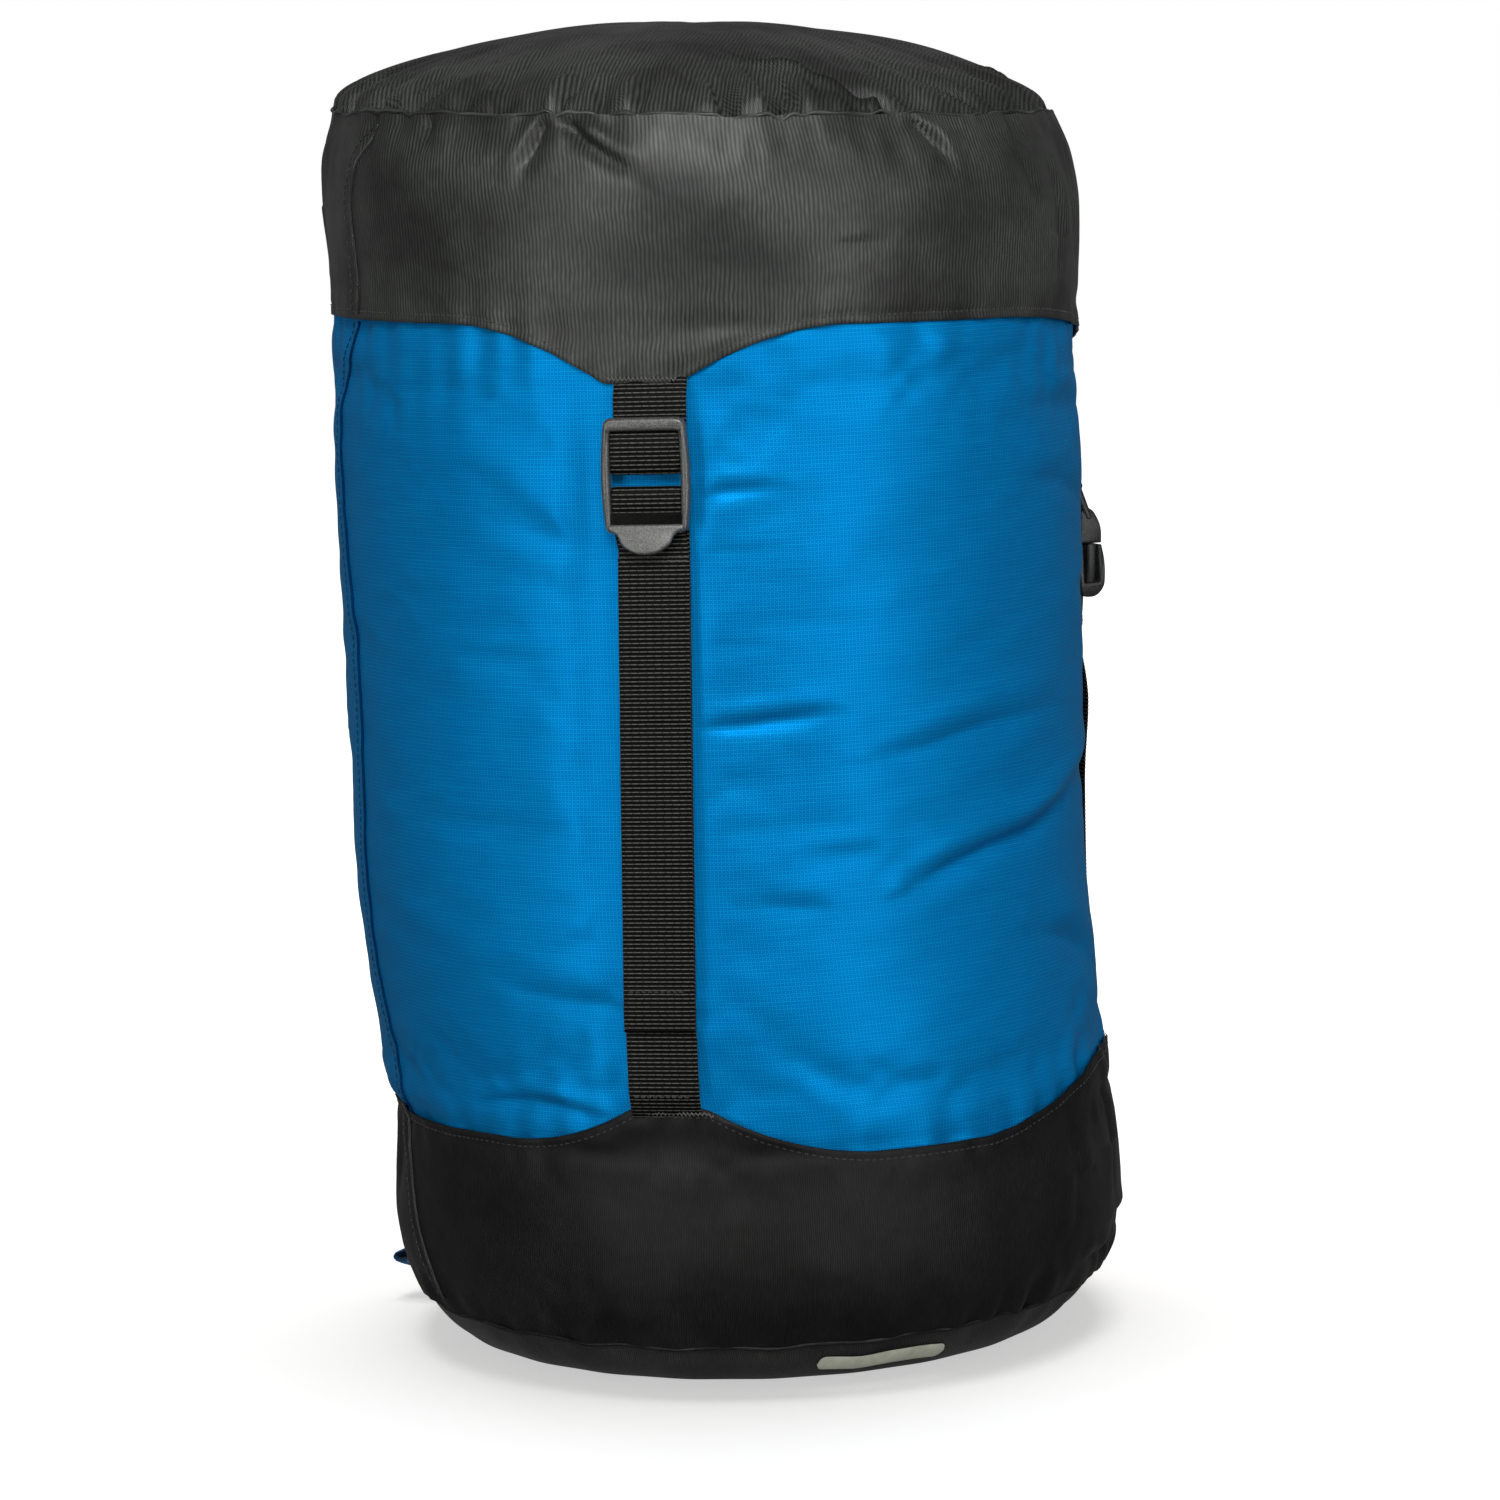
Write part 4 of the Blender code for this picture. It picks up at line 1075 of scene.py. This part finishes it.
def webbing(name, strap, corners, aside=None, bend=1.2 * MM, width=2 * STRAP_HALF, thick=WEBBING_THICK,
            rib=RIB_PITCH, ripples=0.13 * MM):
    """A flat strap along (radius, z) corners at one strap's angle; aside(z) moves it sideways."""
    path, run = path_of(corners, bend, rib / 4)
    along = np.gradient(path, axis=0)
    along /= np.linalg.norm(along, axis=1)[:, None]
    out = np.stack([-along[:, 1], along[:, 0]], -1)
    if out[0, 0] < 0:
        out = -out
    beat = np.cos(2 * math.pi * run / rib)
    half_width = width / 2 + 0.10 * MM * beat
    half_thick = thick / 2 * 0.82 + ripples * (0.5 + 0.5 * beat) ** 0.7
    across = np.array([-1, -0.985, -0.94, -0.8, -0.5, -0.2, 0.2, 0.5, 0.8, 0.94, 0.985, 1])
    crown = np.array([0.0, 0.6, 0.9, 1.0, 1.0, 1.0, 1.0, 1.0, 1.0, 0.9, 0.6, 0.0])
    loop_u = np.concatenate([across, across[-2:0:-1]])
    loop_t = np.concatenate([crown, -crown[-2:0:-1]])
    offset = 0.0 if aside is None else aside(path[:, 1])
    over = half_width[:, None] * loop_u
    sideways = over + np.broadcast_to(offset, run.shape)[:, None]
    lift = half_thick[:, None] * loop_t
    radius = path[:, :1] + lift * out[:, :1]
    z = path[:, 1:] + lift * out[:, 1:]
    points = on_sack(strap, radius, z, sideways)
    rows, columns = points.shape[:2]
    faces = lattice_faces(rows, columns)
    faces.append(list(range(columns))[::-1])
    faces.append([(rows - 1) * columns + j for j in range(columns)])
    uvs = np.stack([np.broadcast_to(run[:, None], over.shape), over + 0.05 + 0.1 * (loop_t < 0)], -1)
    piece = add_mesh(name, points, faces, uvs)
    mend(piece.data, outward=True)
    return dress(piece, WEBBING)


def strap_stitches(name, body, strap, radius, z, aside):
    """A row of thread across a strap."""
    inset = 1.5 * MM
    line = on_sack(strap, radius, z, np.linspace(-STRAP_HALF + inset, STRAP_HALF - inset, 40) + aside)
    facing = on_sack(strap, np.ones(40), np.zeros(40))
    row = stitches(f"{name}_0", body, line, facing, 1.5 * MM, 0.7 * MM, 0.26 * MM)
    return dress(row, BLACK_THREAD)


def strap_part(name, strap, corners, node=None, body=None, **look):
    """A length of a strap that rides a body and stands for a CAD node."""
    piece = webbing(f"{name}_webbing", strap, corners, **look)
    if body:
        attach(piece, body)
    if node:
        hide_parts(node)
    return piece


def at(strap, radius, z):
    return on_sack(strap, radius, z).tolist()


def front_aside(z):
    """The front strap runs a little askew: right of the middle at the lid, left at the base."""
    return np.interp(z, [0.105, 0.136, 0.297, 0.360], [-0.2 * MM, -0.6 * MM, 2.4 * MM, 2.7 * MM])


LOCK_ASIDE = 1.0 * MM               # the front lock has slid a little along its strap's width
STRAP_FOOT = [(0.1296, 0.0950), (0.1312, 0.1010), (0.1338, 0.1052), (0.1357, 0.1100)]


ANCHOR_PATH = [(0.1326, 0.3720), (0.1334, 0.3620), (0.1350, 0.3575), (0.1374, 0.3535),
               (0.1379, 0.3490), (0.1381, 0.3420)]
LOOP_PATH = [(0.1384, 0.3455), (0.1392, 0.3405), (0.1404, 0.3380), (0.1408, 0.3340), (0.1405, 0.3270),
             (0.1378, 0.3262), (0.1366, 0.3290), (0.1366, 0.3400)]
WRAP_PATH = [(0.1365, 0.3060), (0.1366, 0.3160), (0.1372, 0.3212), (0.1396, 0.3216), (0.1407, 0.3190),
             (0.1405, 0.3135), (0.1388, 0.3114), (0.1377, 0.3080), (0.1376, 0.2960)]
TAIL_PATH = [(0.1376, 0.2975), (0.1381, 0.2700), (0.1387, 0.2200), (0.1389, 0.1340)]
TAIL_FOLD = [(0.1377, 0.1475), (0.1374, 0.1400), (0.1376, 0.1336), (0.1389, 0.1332)]


def lock_straps(word, strap, aside):
    """The webbing of a strap that runs through a ladder lock."""
    lock, tail = f"{word}_lock", f"{word}_tail"
    below = float(aside(0.2970))
    drift = LOCK_ASIDE - below if strap == FRONT else 0.0

    def in_lock(z):
        """Inside the lock the webbing sits over with it, and comes back below."""
        return below + drift * smooth((z - 0.2990) / 0.010)

    anchor = strap_part(f"{word}_anchor", strap, ANCHOR_PATH, f"{word}_strap_anchor",
                        aside=aside, thick=2.0 * MM, width=2.04 * STRAP_HALF)
    at(strap, 0.1379, 0.3475)
    at(strap, 0.1379, 0.3435)
    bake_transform(anchor)
    narrow = {"aside": in_lock, "bend": 1.8 * MM, "width": 24.5 * MM}
    strap_part(f"{word}_loop", strap, LOOP_PATH, f"{word}_strap_loop", lock, **narrow)
    strap_part(f"{word}_wrap", strap, WRAP_PATH, f"{word}_strap_wrap", lock, **narrow)
    free = strap_part(f"{word}_tail", strap, TAIL_PATH, f"{word}_strap_tail", tail, aside=aside)
    fold = strap_part(f"{word}_tail_hem", strap, TAIL_FOLD, None, tail, aside=aside, bend=0.8 * MM)
    thread_row = strap_stitches(f"{word}_tail_stitches", tail, strap, 0.1396, 0.1470, float(aside(0.147)))
    for piece in (free, fold, thread_row):
        at(strap, 0.138, 0.2968)
        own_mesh(piece)
    low = strap_part(f"{word}_standing_low", strap, [*STRAP_FOOT, (0.1360, 0.1200), (0.1360, 0.2710)],
                     f"{word}_strap_standing", aside=aside)
    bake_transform(low)
    high = strap_part(f"{word}_standing_high", strap, [(0.1360, 0.2700), (0.1362, 0.3080)], aside=aside)
    at(strap, 0.136, 0.2760)
    at(strap, 0.136, 0.3060)
    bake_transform(high)
    strap_stitches(f"{word}_base_stitches", "sack", strap, 0.1366, 0.1095, float(aside(0.1095)))


lock_straps("front", FRONT, front_aside)
lock_straps("rear", REAR, level(0.0))


def side_straps():
    """The webbing of the side strap, which a side-release buckle joins."""
    hub, wind = (0.1388, 0.3050), 2.4 * MM
    turns = [(hub[0] + wind * math.cos(a), hub[1] + wind * math.sin(a))
             for a in np.radians(np.arange(150, -151, -30))]
    strap_part("side_anchor", SIDE,
               [(0.1326, 0.3680), (0.1333, 0.3610), (0.1349, 0.3568), (0.1366, 0.3535), (0.1372, 0.3480),
                (0.1373, 0.3250), *turns, (0.1359, 0.3250), (0.1357, 0.3480), (0.1352, 0.3530)],
               "side_strap_anchor", "lid", bend=1.5 * MM)
    strap_part("side_wrap", SIDE,
               [(0.1371, 0.2560), (0.1377, 0.2590), (0.1394, 0.2592), (0.1402, 0.2565), (0.1399, 0.2515),
                (0.1388, 0.2500), (0.1386, 0.2469)], "side_strap_wrap", "side_female", bend=1.4 * MM)
    tail = strap_part("side_tail", SIDE,
                      [(0.1386, 0.2466), (0.1402, 0.2390), (0.1416, 0.2300), (0.1419, 0.2220),
                       (0.1408, 0.2100), (0.1397, 0.1980), (0.1394, 0.1700), (0.1396, 0.1340)],
                      "side_strap_tail", "side_tail", bend=4 * MM)
    at(SIDE, 0.1397, 0.2466)
    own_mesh(tail)
    low = strap_part("side_standing_low", SIDE, [*STRAP_FOOT, (0.1360, 0.1200), (0.1360, 0.2200)],
                     "side_strap_standing")
    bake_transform(low)
    high = strap_part("side_standing_high", SIDE, [(0.1360, 0.2190), (0.1362, 0.2470), (0.1368, 0.2560)])
    at(SIDE, 0.136, 0.2200)
    at(SIDE, 0.136, 0.2480)
    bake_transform(high)


side_straps()


# ------------------------------------------------------------------- plastic
def plate(name, outlines, depth, edge, centre, tilt=0.0, strap=FRONT, aside=0.0, sideways=False, barrel=0.0):
    """A moulding with rounded edges, from outlines in (across, up): its rim, then its holes.

    Its depth and edge radius are in millimetres.  A sideways one has its outline in
    (outward, up) instead, and its depth lies across the strap.
    """
    depth, edge = depth * MM, edge * MM
    curve = bpy.data.curves.new(name, "CURVE")
    curve.dimensions = "2D"
    curve.fill_mode = "BOTH"
    curve.extrude = depth / 2 - edge
    curve.bevel_depth = edge
    curve.offset = -edge
    curve.bevel_resolution = 3
    for outline in (outlines[0], *(hole[::-1] for hole in outlines[1:])):
        spline = curve.splines.new("POLY")
        spline.points.add(len(outline) - 1)
        spline.points.foreach_set("co", [c for x, y in outline for c in (x, y, 0, 1)])
        spline.use_cyclic_u = True
    maker = add_object(name + "_curve", curve)
    bpy.context.view_layer.update()
    mesh = bpy.data.meshes.new_from_object(maker.evaluated_get(bpy.context.evaluated_depsgraph_get()))
    bpy.data.objects.remove(maker)
    co = np.zeros(len(mesh.vertices) * 3)
    mesh.vertices.foreach_get("co", co)
    x, up, w = co.reshape(-1, 3).T
    c, s = math.cos(tilt), math.sin(tilt)
    radius = centre[0] + w * c - up * s
    z = centre[1] + up * c + w * s
    if sideways:
        w = w * (1 - barrel * (up / 0.010) ** 2)
        mesh.vertices.foreach_set("co", on_sack(strap, centre[0] + x, centre[1] + up, w + aside).ravel())
    else:
        mesh.vertices.foreach_set("co", on_sack(strap, radius, z, x + aside).ravel())
    mend(mesh, weld=1e-6, outward=True)
    mesh.name = name
    mesh.polygons.foreach_set("use_smooth", [True] * len(mesh.polygons))
    mesh.set_sharp_from_angle(angle=math.radians(40))
    piece = add_object(name, mesh)
    return dress(piece, PLASTIC)


CORNER_STEPS = 6


def rounded(corners):
    """A closed outline from corners of (across, up, radius) in millimetres."""
    places = [np.array(corner[:2], float) * MM for corner in corners]
    line = []
    for i, corner in enumerate(places):
        a, b = places[i - 1] - corner, places[(i + 1) % len(places)] - corner
        reach = min(corners[i][2] * MM, 0.48 * np.linalg.norm(a), 0.48 * np.linalg.norm(b))
        start = corner + a / np.linalg.norm(a) * reach
        end = corner + b / np.linalg.norm(b) * reach
        for t in np.linspace(0, 1, CORNER_STEPS):
            line.append(tuple((1 - t) ** 2 * start + 2 * t * (1 - t) * corner + t * t * end))
    return line


def even(*half):
    """A rounded outline that is alike on both sides, from the corners of its right side."""
    return rounded([*half, *((-x, up, radius) for x, up, radius in half[::-1])])


LOCK_MIDDLE = 0.32595
LOCK_REACH = 19.75                  # from the lock's middle to its top and its foot, in mm


def ladder_lock(word, strap, aside):
    """A webbing adjuster: bowed side rails, a top rail, two bars and a lifting tab."""
    lock = f"{word}_lock"
    rim = even((14.1, LOCK_REACH, 3.2), (15.4, 4, 6), (15.4, -6, 6), (14.2, -LOCK_REACH, 2.6))
    hole = even((12.1, LOCK_REACH - 4.6, 1.2), (12.425, 0, 6), (12.1, 1.6 - LOCK_REACH, 1.0))
    frame_half = plate(f"{lock}_frame", [rim, hole], 5.4, 1.5, (0.13975, LOCK_MIDDLE), 0.0, strap, aside)
    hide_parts(f"{word}_ladder_lock")
    tongue = even((13.4, 5.0, 0.8), (13.2, 2.9, 1.4), (9.9, 1.6, 2.2), (8.6, -2.2, 3.4), (3.6, -5.6, 3.6))
    tab = plate(f"{lock}_tab", [tongue], 2.3, 0.9, (0.1434, 0.3044), math.radians(17), strap, aside)
    for tag, bar_z, bar_r in (("loop", 0.3309, 0.1386), ("grip", 0.3173, 0.1385)):
        line = on_sack(strap, bar_r, bar_z, np.linspace(-0.0138, 0.0138, 12) + aside)
        bar = tube(f"{lock}_{tag}_bar", lock, line, 1.5 * MM, 14, closed=False)
        dress(bar, PLASTIC)
    # The foot bar sits in the slot between the wrap and the tab; its nearly black plastic is painted shade.
    foot = plate(f"{lock}_foot_bar", [even((12.7, 2.2, 0.5), (12.7, -2.2, 0.5))], 1.2, 0.4,
                 (0.1412, 0.3108), 0.0, strap, aside)
    dress(foot, PAINTED_SHADE_PLASTIC)
    for piece in (frame_half, tab, foot):
        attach(piece, lock)


ladder_lock("front", FRONT, LOCK_ASIDE)
ladder_lock("rear", REAR, 0.0)


def side_buckle():
    """The side-release buckle: a socket the two arms snap into, and the half that carries them."""
    cup = rounded([(-5.0, 10.0, 0.5), (-5.0, -6.0, 4), (-3.4, -9.6, 3), (2.0, -9.8, 4), (5.2, -6.0, 5),
                   (5.4, 3.0, 6), (4.6, 10.0, 0.5), (3.0, 10.0, 0.4), (3.0, -4.2, 0.8), (-3.0, -4.2, 0.8),
                   (-3.0, 10.0, 0.4)])
    socket = plate("side_socket", [cup], 31.6, 0.7, (0.1434, 0.2728), 0.0, SIDE, sideways=True, barrel=0.09)
    boss = [(5.5 * MM * math.cos(a), 4.6 * MM * math.sin(a)) for a in np.linspace(0, 2 * math.pi, 33)[:-1]]
    boss = plate("side_socket_boss", [boss], 4.6, 2.0, (0.1492, 0.2752), 0.0, SIDE)
    rim = even((13.6, 8.5, 1.5), (13.6, -8.5, 1.5))
    hole = even((11.8, 5.0, 0.8), (11.8, -6.0, 0.8))
    ladder = plate("side_socket_ladder", [rim, hole], 2.6, 0.9, (0.1387, 0.2558), math.radians(-5), SIDE)
    bar_line = on_sack(SIDE, 0.1384, 0.2552, np.linspace(-0.0125, 0.0125, 10))
    bar = tube("side_socket_bar", None, bar_line, 1.0 * MM, 12, closed=False)
    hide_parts("buckle_female")
    wedge = rounded([(-4.4, -6.2, 0.5), (5.0, -6.2, 0.5), (4.6, 0.6, 5), (1.8, 6.4, 4), (-1.2, 7.8, 1.5),
                     (-3.6, 6.0, 3)])
    root = plate("side_plug", [wedge], 30.0, 1.0, (0.1432, 0.2895), 0.0, SIDE, sideways=True, barrel=0.16)
    rim = even((14.0, 6.6, 3), (15.0, -8.5, 1))
    hole = even((12.8, 3.2, 1), (12.8, -4.8, 1))
    eye = plate("side_plug_frame", [rim, hole], 2.8, 1.1, (0.1403, 0.3004), math.radians(20), SIDE)
    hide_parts("buckle_male")
    riders = [(piece, "side_female") for piece in (socket, boss, ladder, bar)] + [(root, "lid"), (eye, "lid")]
    for word, side in (("left", -1), ("right", 1)):
        arm = rounded([(15.7 * side, 7.8, 0.8), (10.2 * side, 7.8, 0.8), (10.6 * side, -6.6, 0.8),
                       (14.0 * side, -7.2, 0.8), (15.2 * side, 0.0, 0.8)])
        arm = plate(f"side_arm_{word}", [arm], 3.6, 1.0, (0.1434, 0.2755), 0.0, SIDE)
        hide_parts(f"buckle_prong_{word}")
        riders.append((arm, f"prong_{word}"))
    # The buckle's pieces take the darker copy of the plastic: painted shade.
    for piece, body in riders:
        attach(piece, body)
        dress(piece, SIDE_SHADE_PLASTIC)


side_buckle()

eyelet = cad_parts["cord_eyelet"]
soften = eyelet.modifiers.new("edges", "BEVEL")
soften.width = 0.35 * MM
soften.segments = 3
soften.limit_method = "ANGLE"
soften.angle_limit = math.radians(35)
dress(eyelet, PLASTIC)

# -------------------------------------------------------- haul loop and label
HAUL_ANGLE = 258.0
haul = webbing("haul_loop_ribbon", HAUL_ANGLE,
               [(0.1170, 0.0200), (0.1270, 0.0205), (0.1365, 0.0190), (0.1422, 0.0158), (0.1365, 0.0132),
                (0.1270, 0.0128), (0.1170, 0.0135)],
               bend=3 * MM, width=0.015, thick=0.9 * MM, rib=1.1 * MM, ripples=0.03 * MM)
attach(haul, "haul_loop")
dress(haul, RIBBON, ["haul_loop"])


def base_label():
    """A blank stadium-shaped label on the underside, near the front."""
    length, height, middle, from_axis = 0.0480, 0.0058, 31.0, 0.1196
    along = np.linspace(-1, 1, 61)[None, :]
    across = np.linspace(-1, 1, 13)[:, None]
    u = along * length / 2
    past = np.maximum(np.abs(u) - (length - height) / 2, 0)
    room = np.sqrt(np.clip((height / 2) ** 2 - past ** 2, 1e-8, None))
    v = across * room
    angle = middle + np.degrees(u / 0.118) + 0 * v
    ring = (from_axis + v) / BASE_SEAM_R
    points = floor_points(angle, ring, 0.45 * MM)
    uvs = np.stack(np.broadcast_arrays(u + 0.1, v + 0.1), -1)
    faces = lattice_faces(*points.shape[:2], closed=False)
    label = add_mesh("base_label_cloth", points, faces, uvs, "sack")
    dress(label, LABEL, ["base_label"])


base_label()

# ------------------------------------------------------ floor, lights, camera
CAMERA_AZIMUTH = math.radians(10.0)
CAMERA_DISTANCE = 1.9
CAMERA_ASIDE = 9.5 * MM
CAMERA_HEIGHT = 0.448
CAMERA_PITCH = math.radians(7.04)
CAMERA_ROLL = math.radians(1.7)
CAMERA_LENS, SENSOR_WIDTH = 124.03, 36


def soft_box(name, azimuth, elevation, distance, width, height, power, floor_state="EXCLUDE", spared=()):
    """A rectangular lamp aimed at the sack, from an azimuth and a height above the horizon."""
    light = bpy.data.lights.new(name, "AREA")
    light.shape = "RECTANGLE"
    light.size, light.size_y = width, height
    light.energy = power
    lamp = add_object(name, light)
    a, e = math.radians(azimuth), math.radians(elevation)
    way = Vector((math.sin(a) * math.cos(e), -math.cos(a) * math.cos(e), math.sin(e)))
    lamp.location = way * distance + Vector((0, 0, 0.25))
    lamp.rotation_euler = way.to_track_quat("Z", "Y").to_euler()
    lit = bpy.data.collections.new(name + "_lights")
    for i, piece in enumerate([floor, *spared]):
        lit.objects.link(piece)
        lit.collection_objects[i].light_linking.link_state = "EXCLUDE" if i else floor_state
    lamp.light_linking.receiver_collection = lit


AMBIENT = 0.16
world = bpy.data.worlds.new("studio")
world.use_nodes = True
world.node_tree.nodes["Background"].inputs[0].default_value = (1, 1, 1, 1)
world.node_tree.nodes["Background"].inputs[1].default_value = AMBIENT
bpy.context.scene.world = world
bpy.context.scene.view_settings.view_transform = "Standard"


def stage_piece(name, points, faces, diffuse, glow):
    """Part of the pale studio: the camera sees it, and the sack isn't lit by it.  Its glow is painted light,
    at glow strength within 0.25 m of the middle and rising to full strength 1.6 m out.
    """
    mesh = bpy.data.meshes.new(name)
    mesh.from_pydata(points, [], faces)
    piece = add_object(name, mesh)
    pale = Finish(name, 0.9, 0.0)
    pale.colour((diffuse, 0.99 * diffuse, 0.95 * diffuse))
    pale.put((1, 1, 1), pale.shader.inputs["Emission Color"])
    away = pale.node("ShaderNodeVectorMath", operation="LENGTH")
    pale.put(pale.object_place(), away.inputs[0])
    strength = pale.spread(away.outputs["Value"], 0.25, 1.6, glow, 1.0)
    pale.put(strength, pale.shader.inputs["Emission Strength"])
    mesh.materials.append(pale.material)
    piece.visible_diffuse = piece.visible_glossy = False
    return piece


FLOOR_Z, FLOOR_HALF = -0.3 * MM, 7
WALL_R, WALL_SIDES = 5.5, 48
floor_corners = [(x * FLOOR_HALF, y * FLOOR_HALF, FLOOR_Z) for x, y in ((-1, -1), (1, -1), (1, 1), (-1, 1))]
# Painted light: the floor glows, dimmer near the sack where the floor lamp lights it and casts the sack's
# shadow, and at full strength far off.
floor = stage_piece("floor", floor_corners, [(0, 1, 2, 3)], 0.8, 0.54)
soft_box("left_box", -29, 1, 1.7, 0.42, 1.7, 12.2)
soft_box("right_box", 50, 5, 1.7, 0.42, 1.7, 14.8)
soft_box("rear_box", 190, 12, 1.9, 0.5, 0.9, 17, spared=[lid_top, lid_ridge])
soft_box("front_box", 10, 34, 2.2, 0.9, 0.7, 36)
soft_box("floor_box", 190, 84, 2.6, 1.9, 1.9, 66, floor_state="INCLUDE")
wall_turns = np.linspace(0, 2 * math.pi, WALL_SIDES + 1)[:-1]
wall_points = [(WALL_R * math.cos(a), WALL_R * math.sin(a), z) for z in (-0.2, 6.0) for a in wall_turns]
wall_faces = lattice_faces(2, WALL_SIDES) + [list(range(WALL_SIDES, 2 * WALL_SIDES))]
backdrop = stage_piece("backdrop", wall_points, wall_faces, 0.0, 1.0)
backdrop.visible_shadow = False

camera_data = bpy.data.cameras.new("camera")
camera_data.lens = CAMERA_LENS
camera_data.sensor_width = SENSOR_WIDTH
camera = add_object("camera", camera_data)
back = Vector((math.sin(CAMERA_AZIMUTH), -math.cos(CAMERA_AZIMUTH), 0))
right = Vector((math.cos(CAMERA_AZIMUTH), math.sin(CAMERA_AZIMUTH), 0))
camera.location = back * CAMERA_DISTANCE + right * CAMERA_ASIDE + Vector((0, 0, CAMERA_HEIGHT))
look = -back * math.cos(CAMERA_PITCH) - Vector((0, 0, math.sin(CAMERA_PITCH)))
aim = look.to_track_quat("-Z", "Y").to_matrix().to_4x4()
roll = Matrix.Rotation(-CAMERA_ROLL, 4, "Z")
camera.rotation_euler = (aim @ roll).to_euler()
bpy.context.scene.camera = camera

bpy.context.view_layer.update()
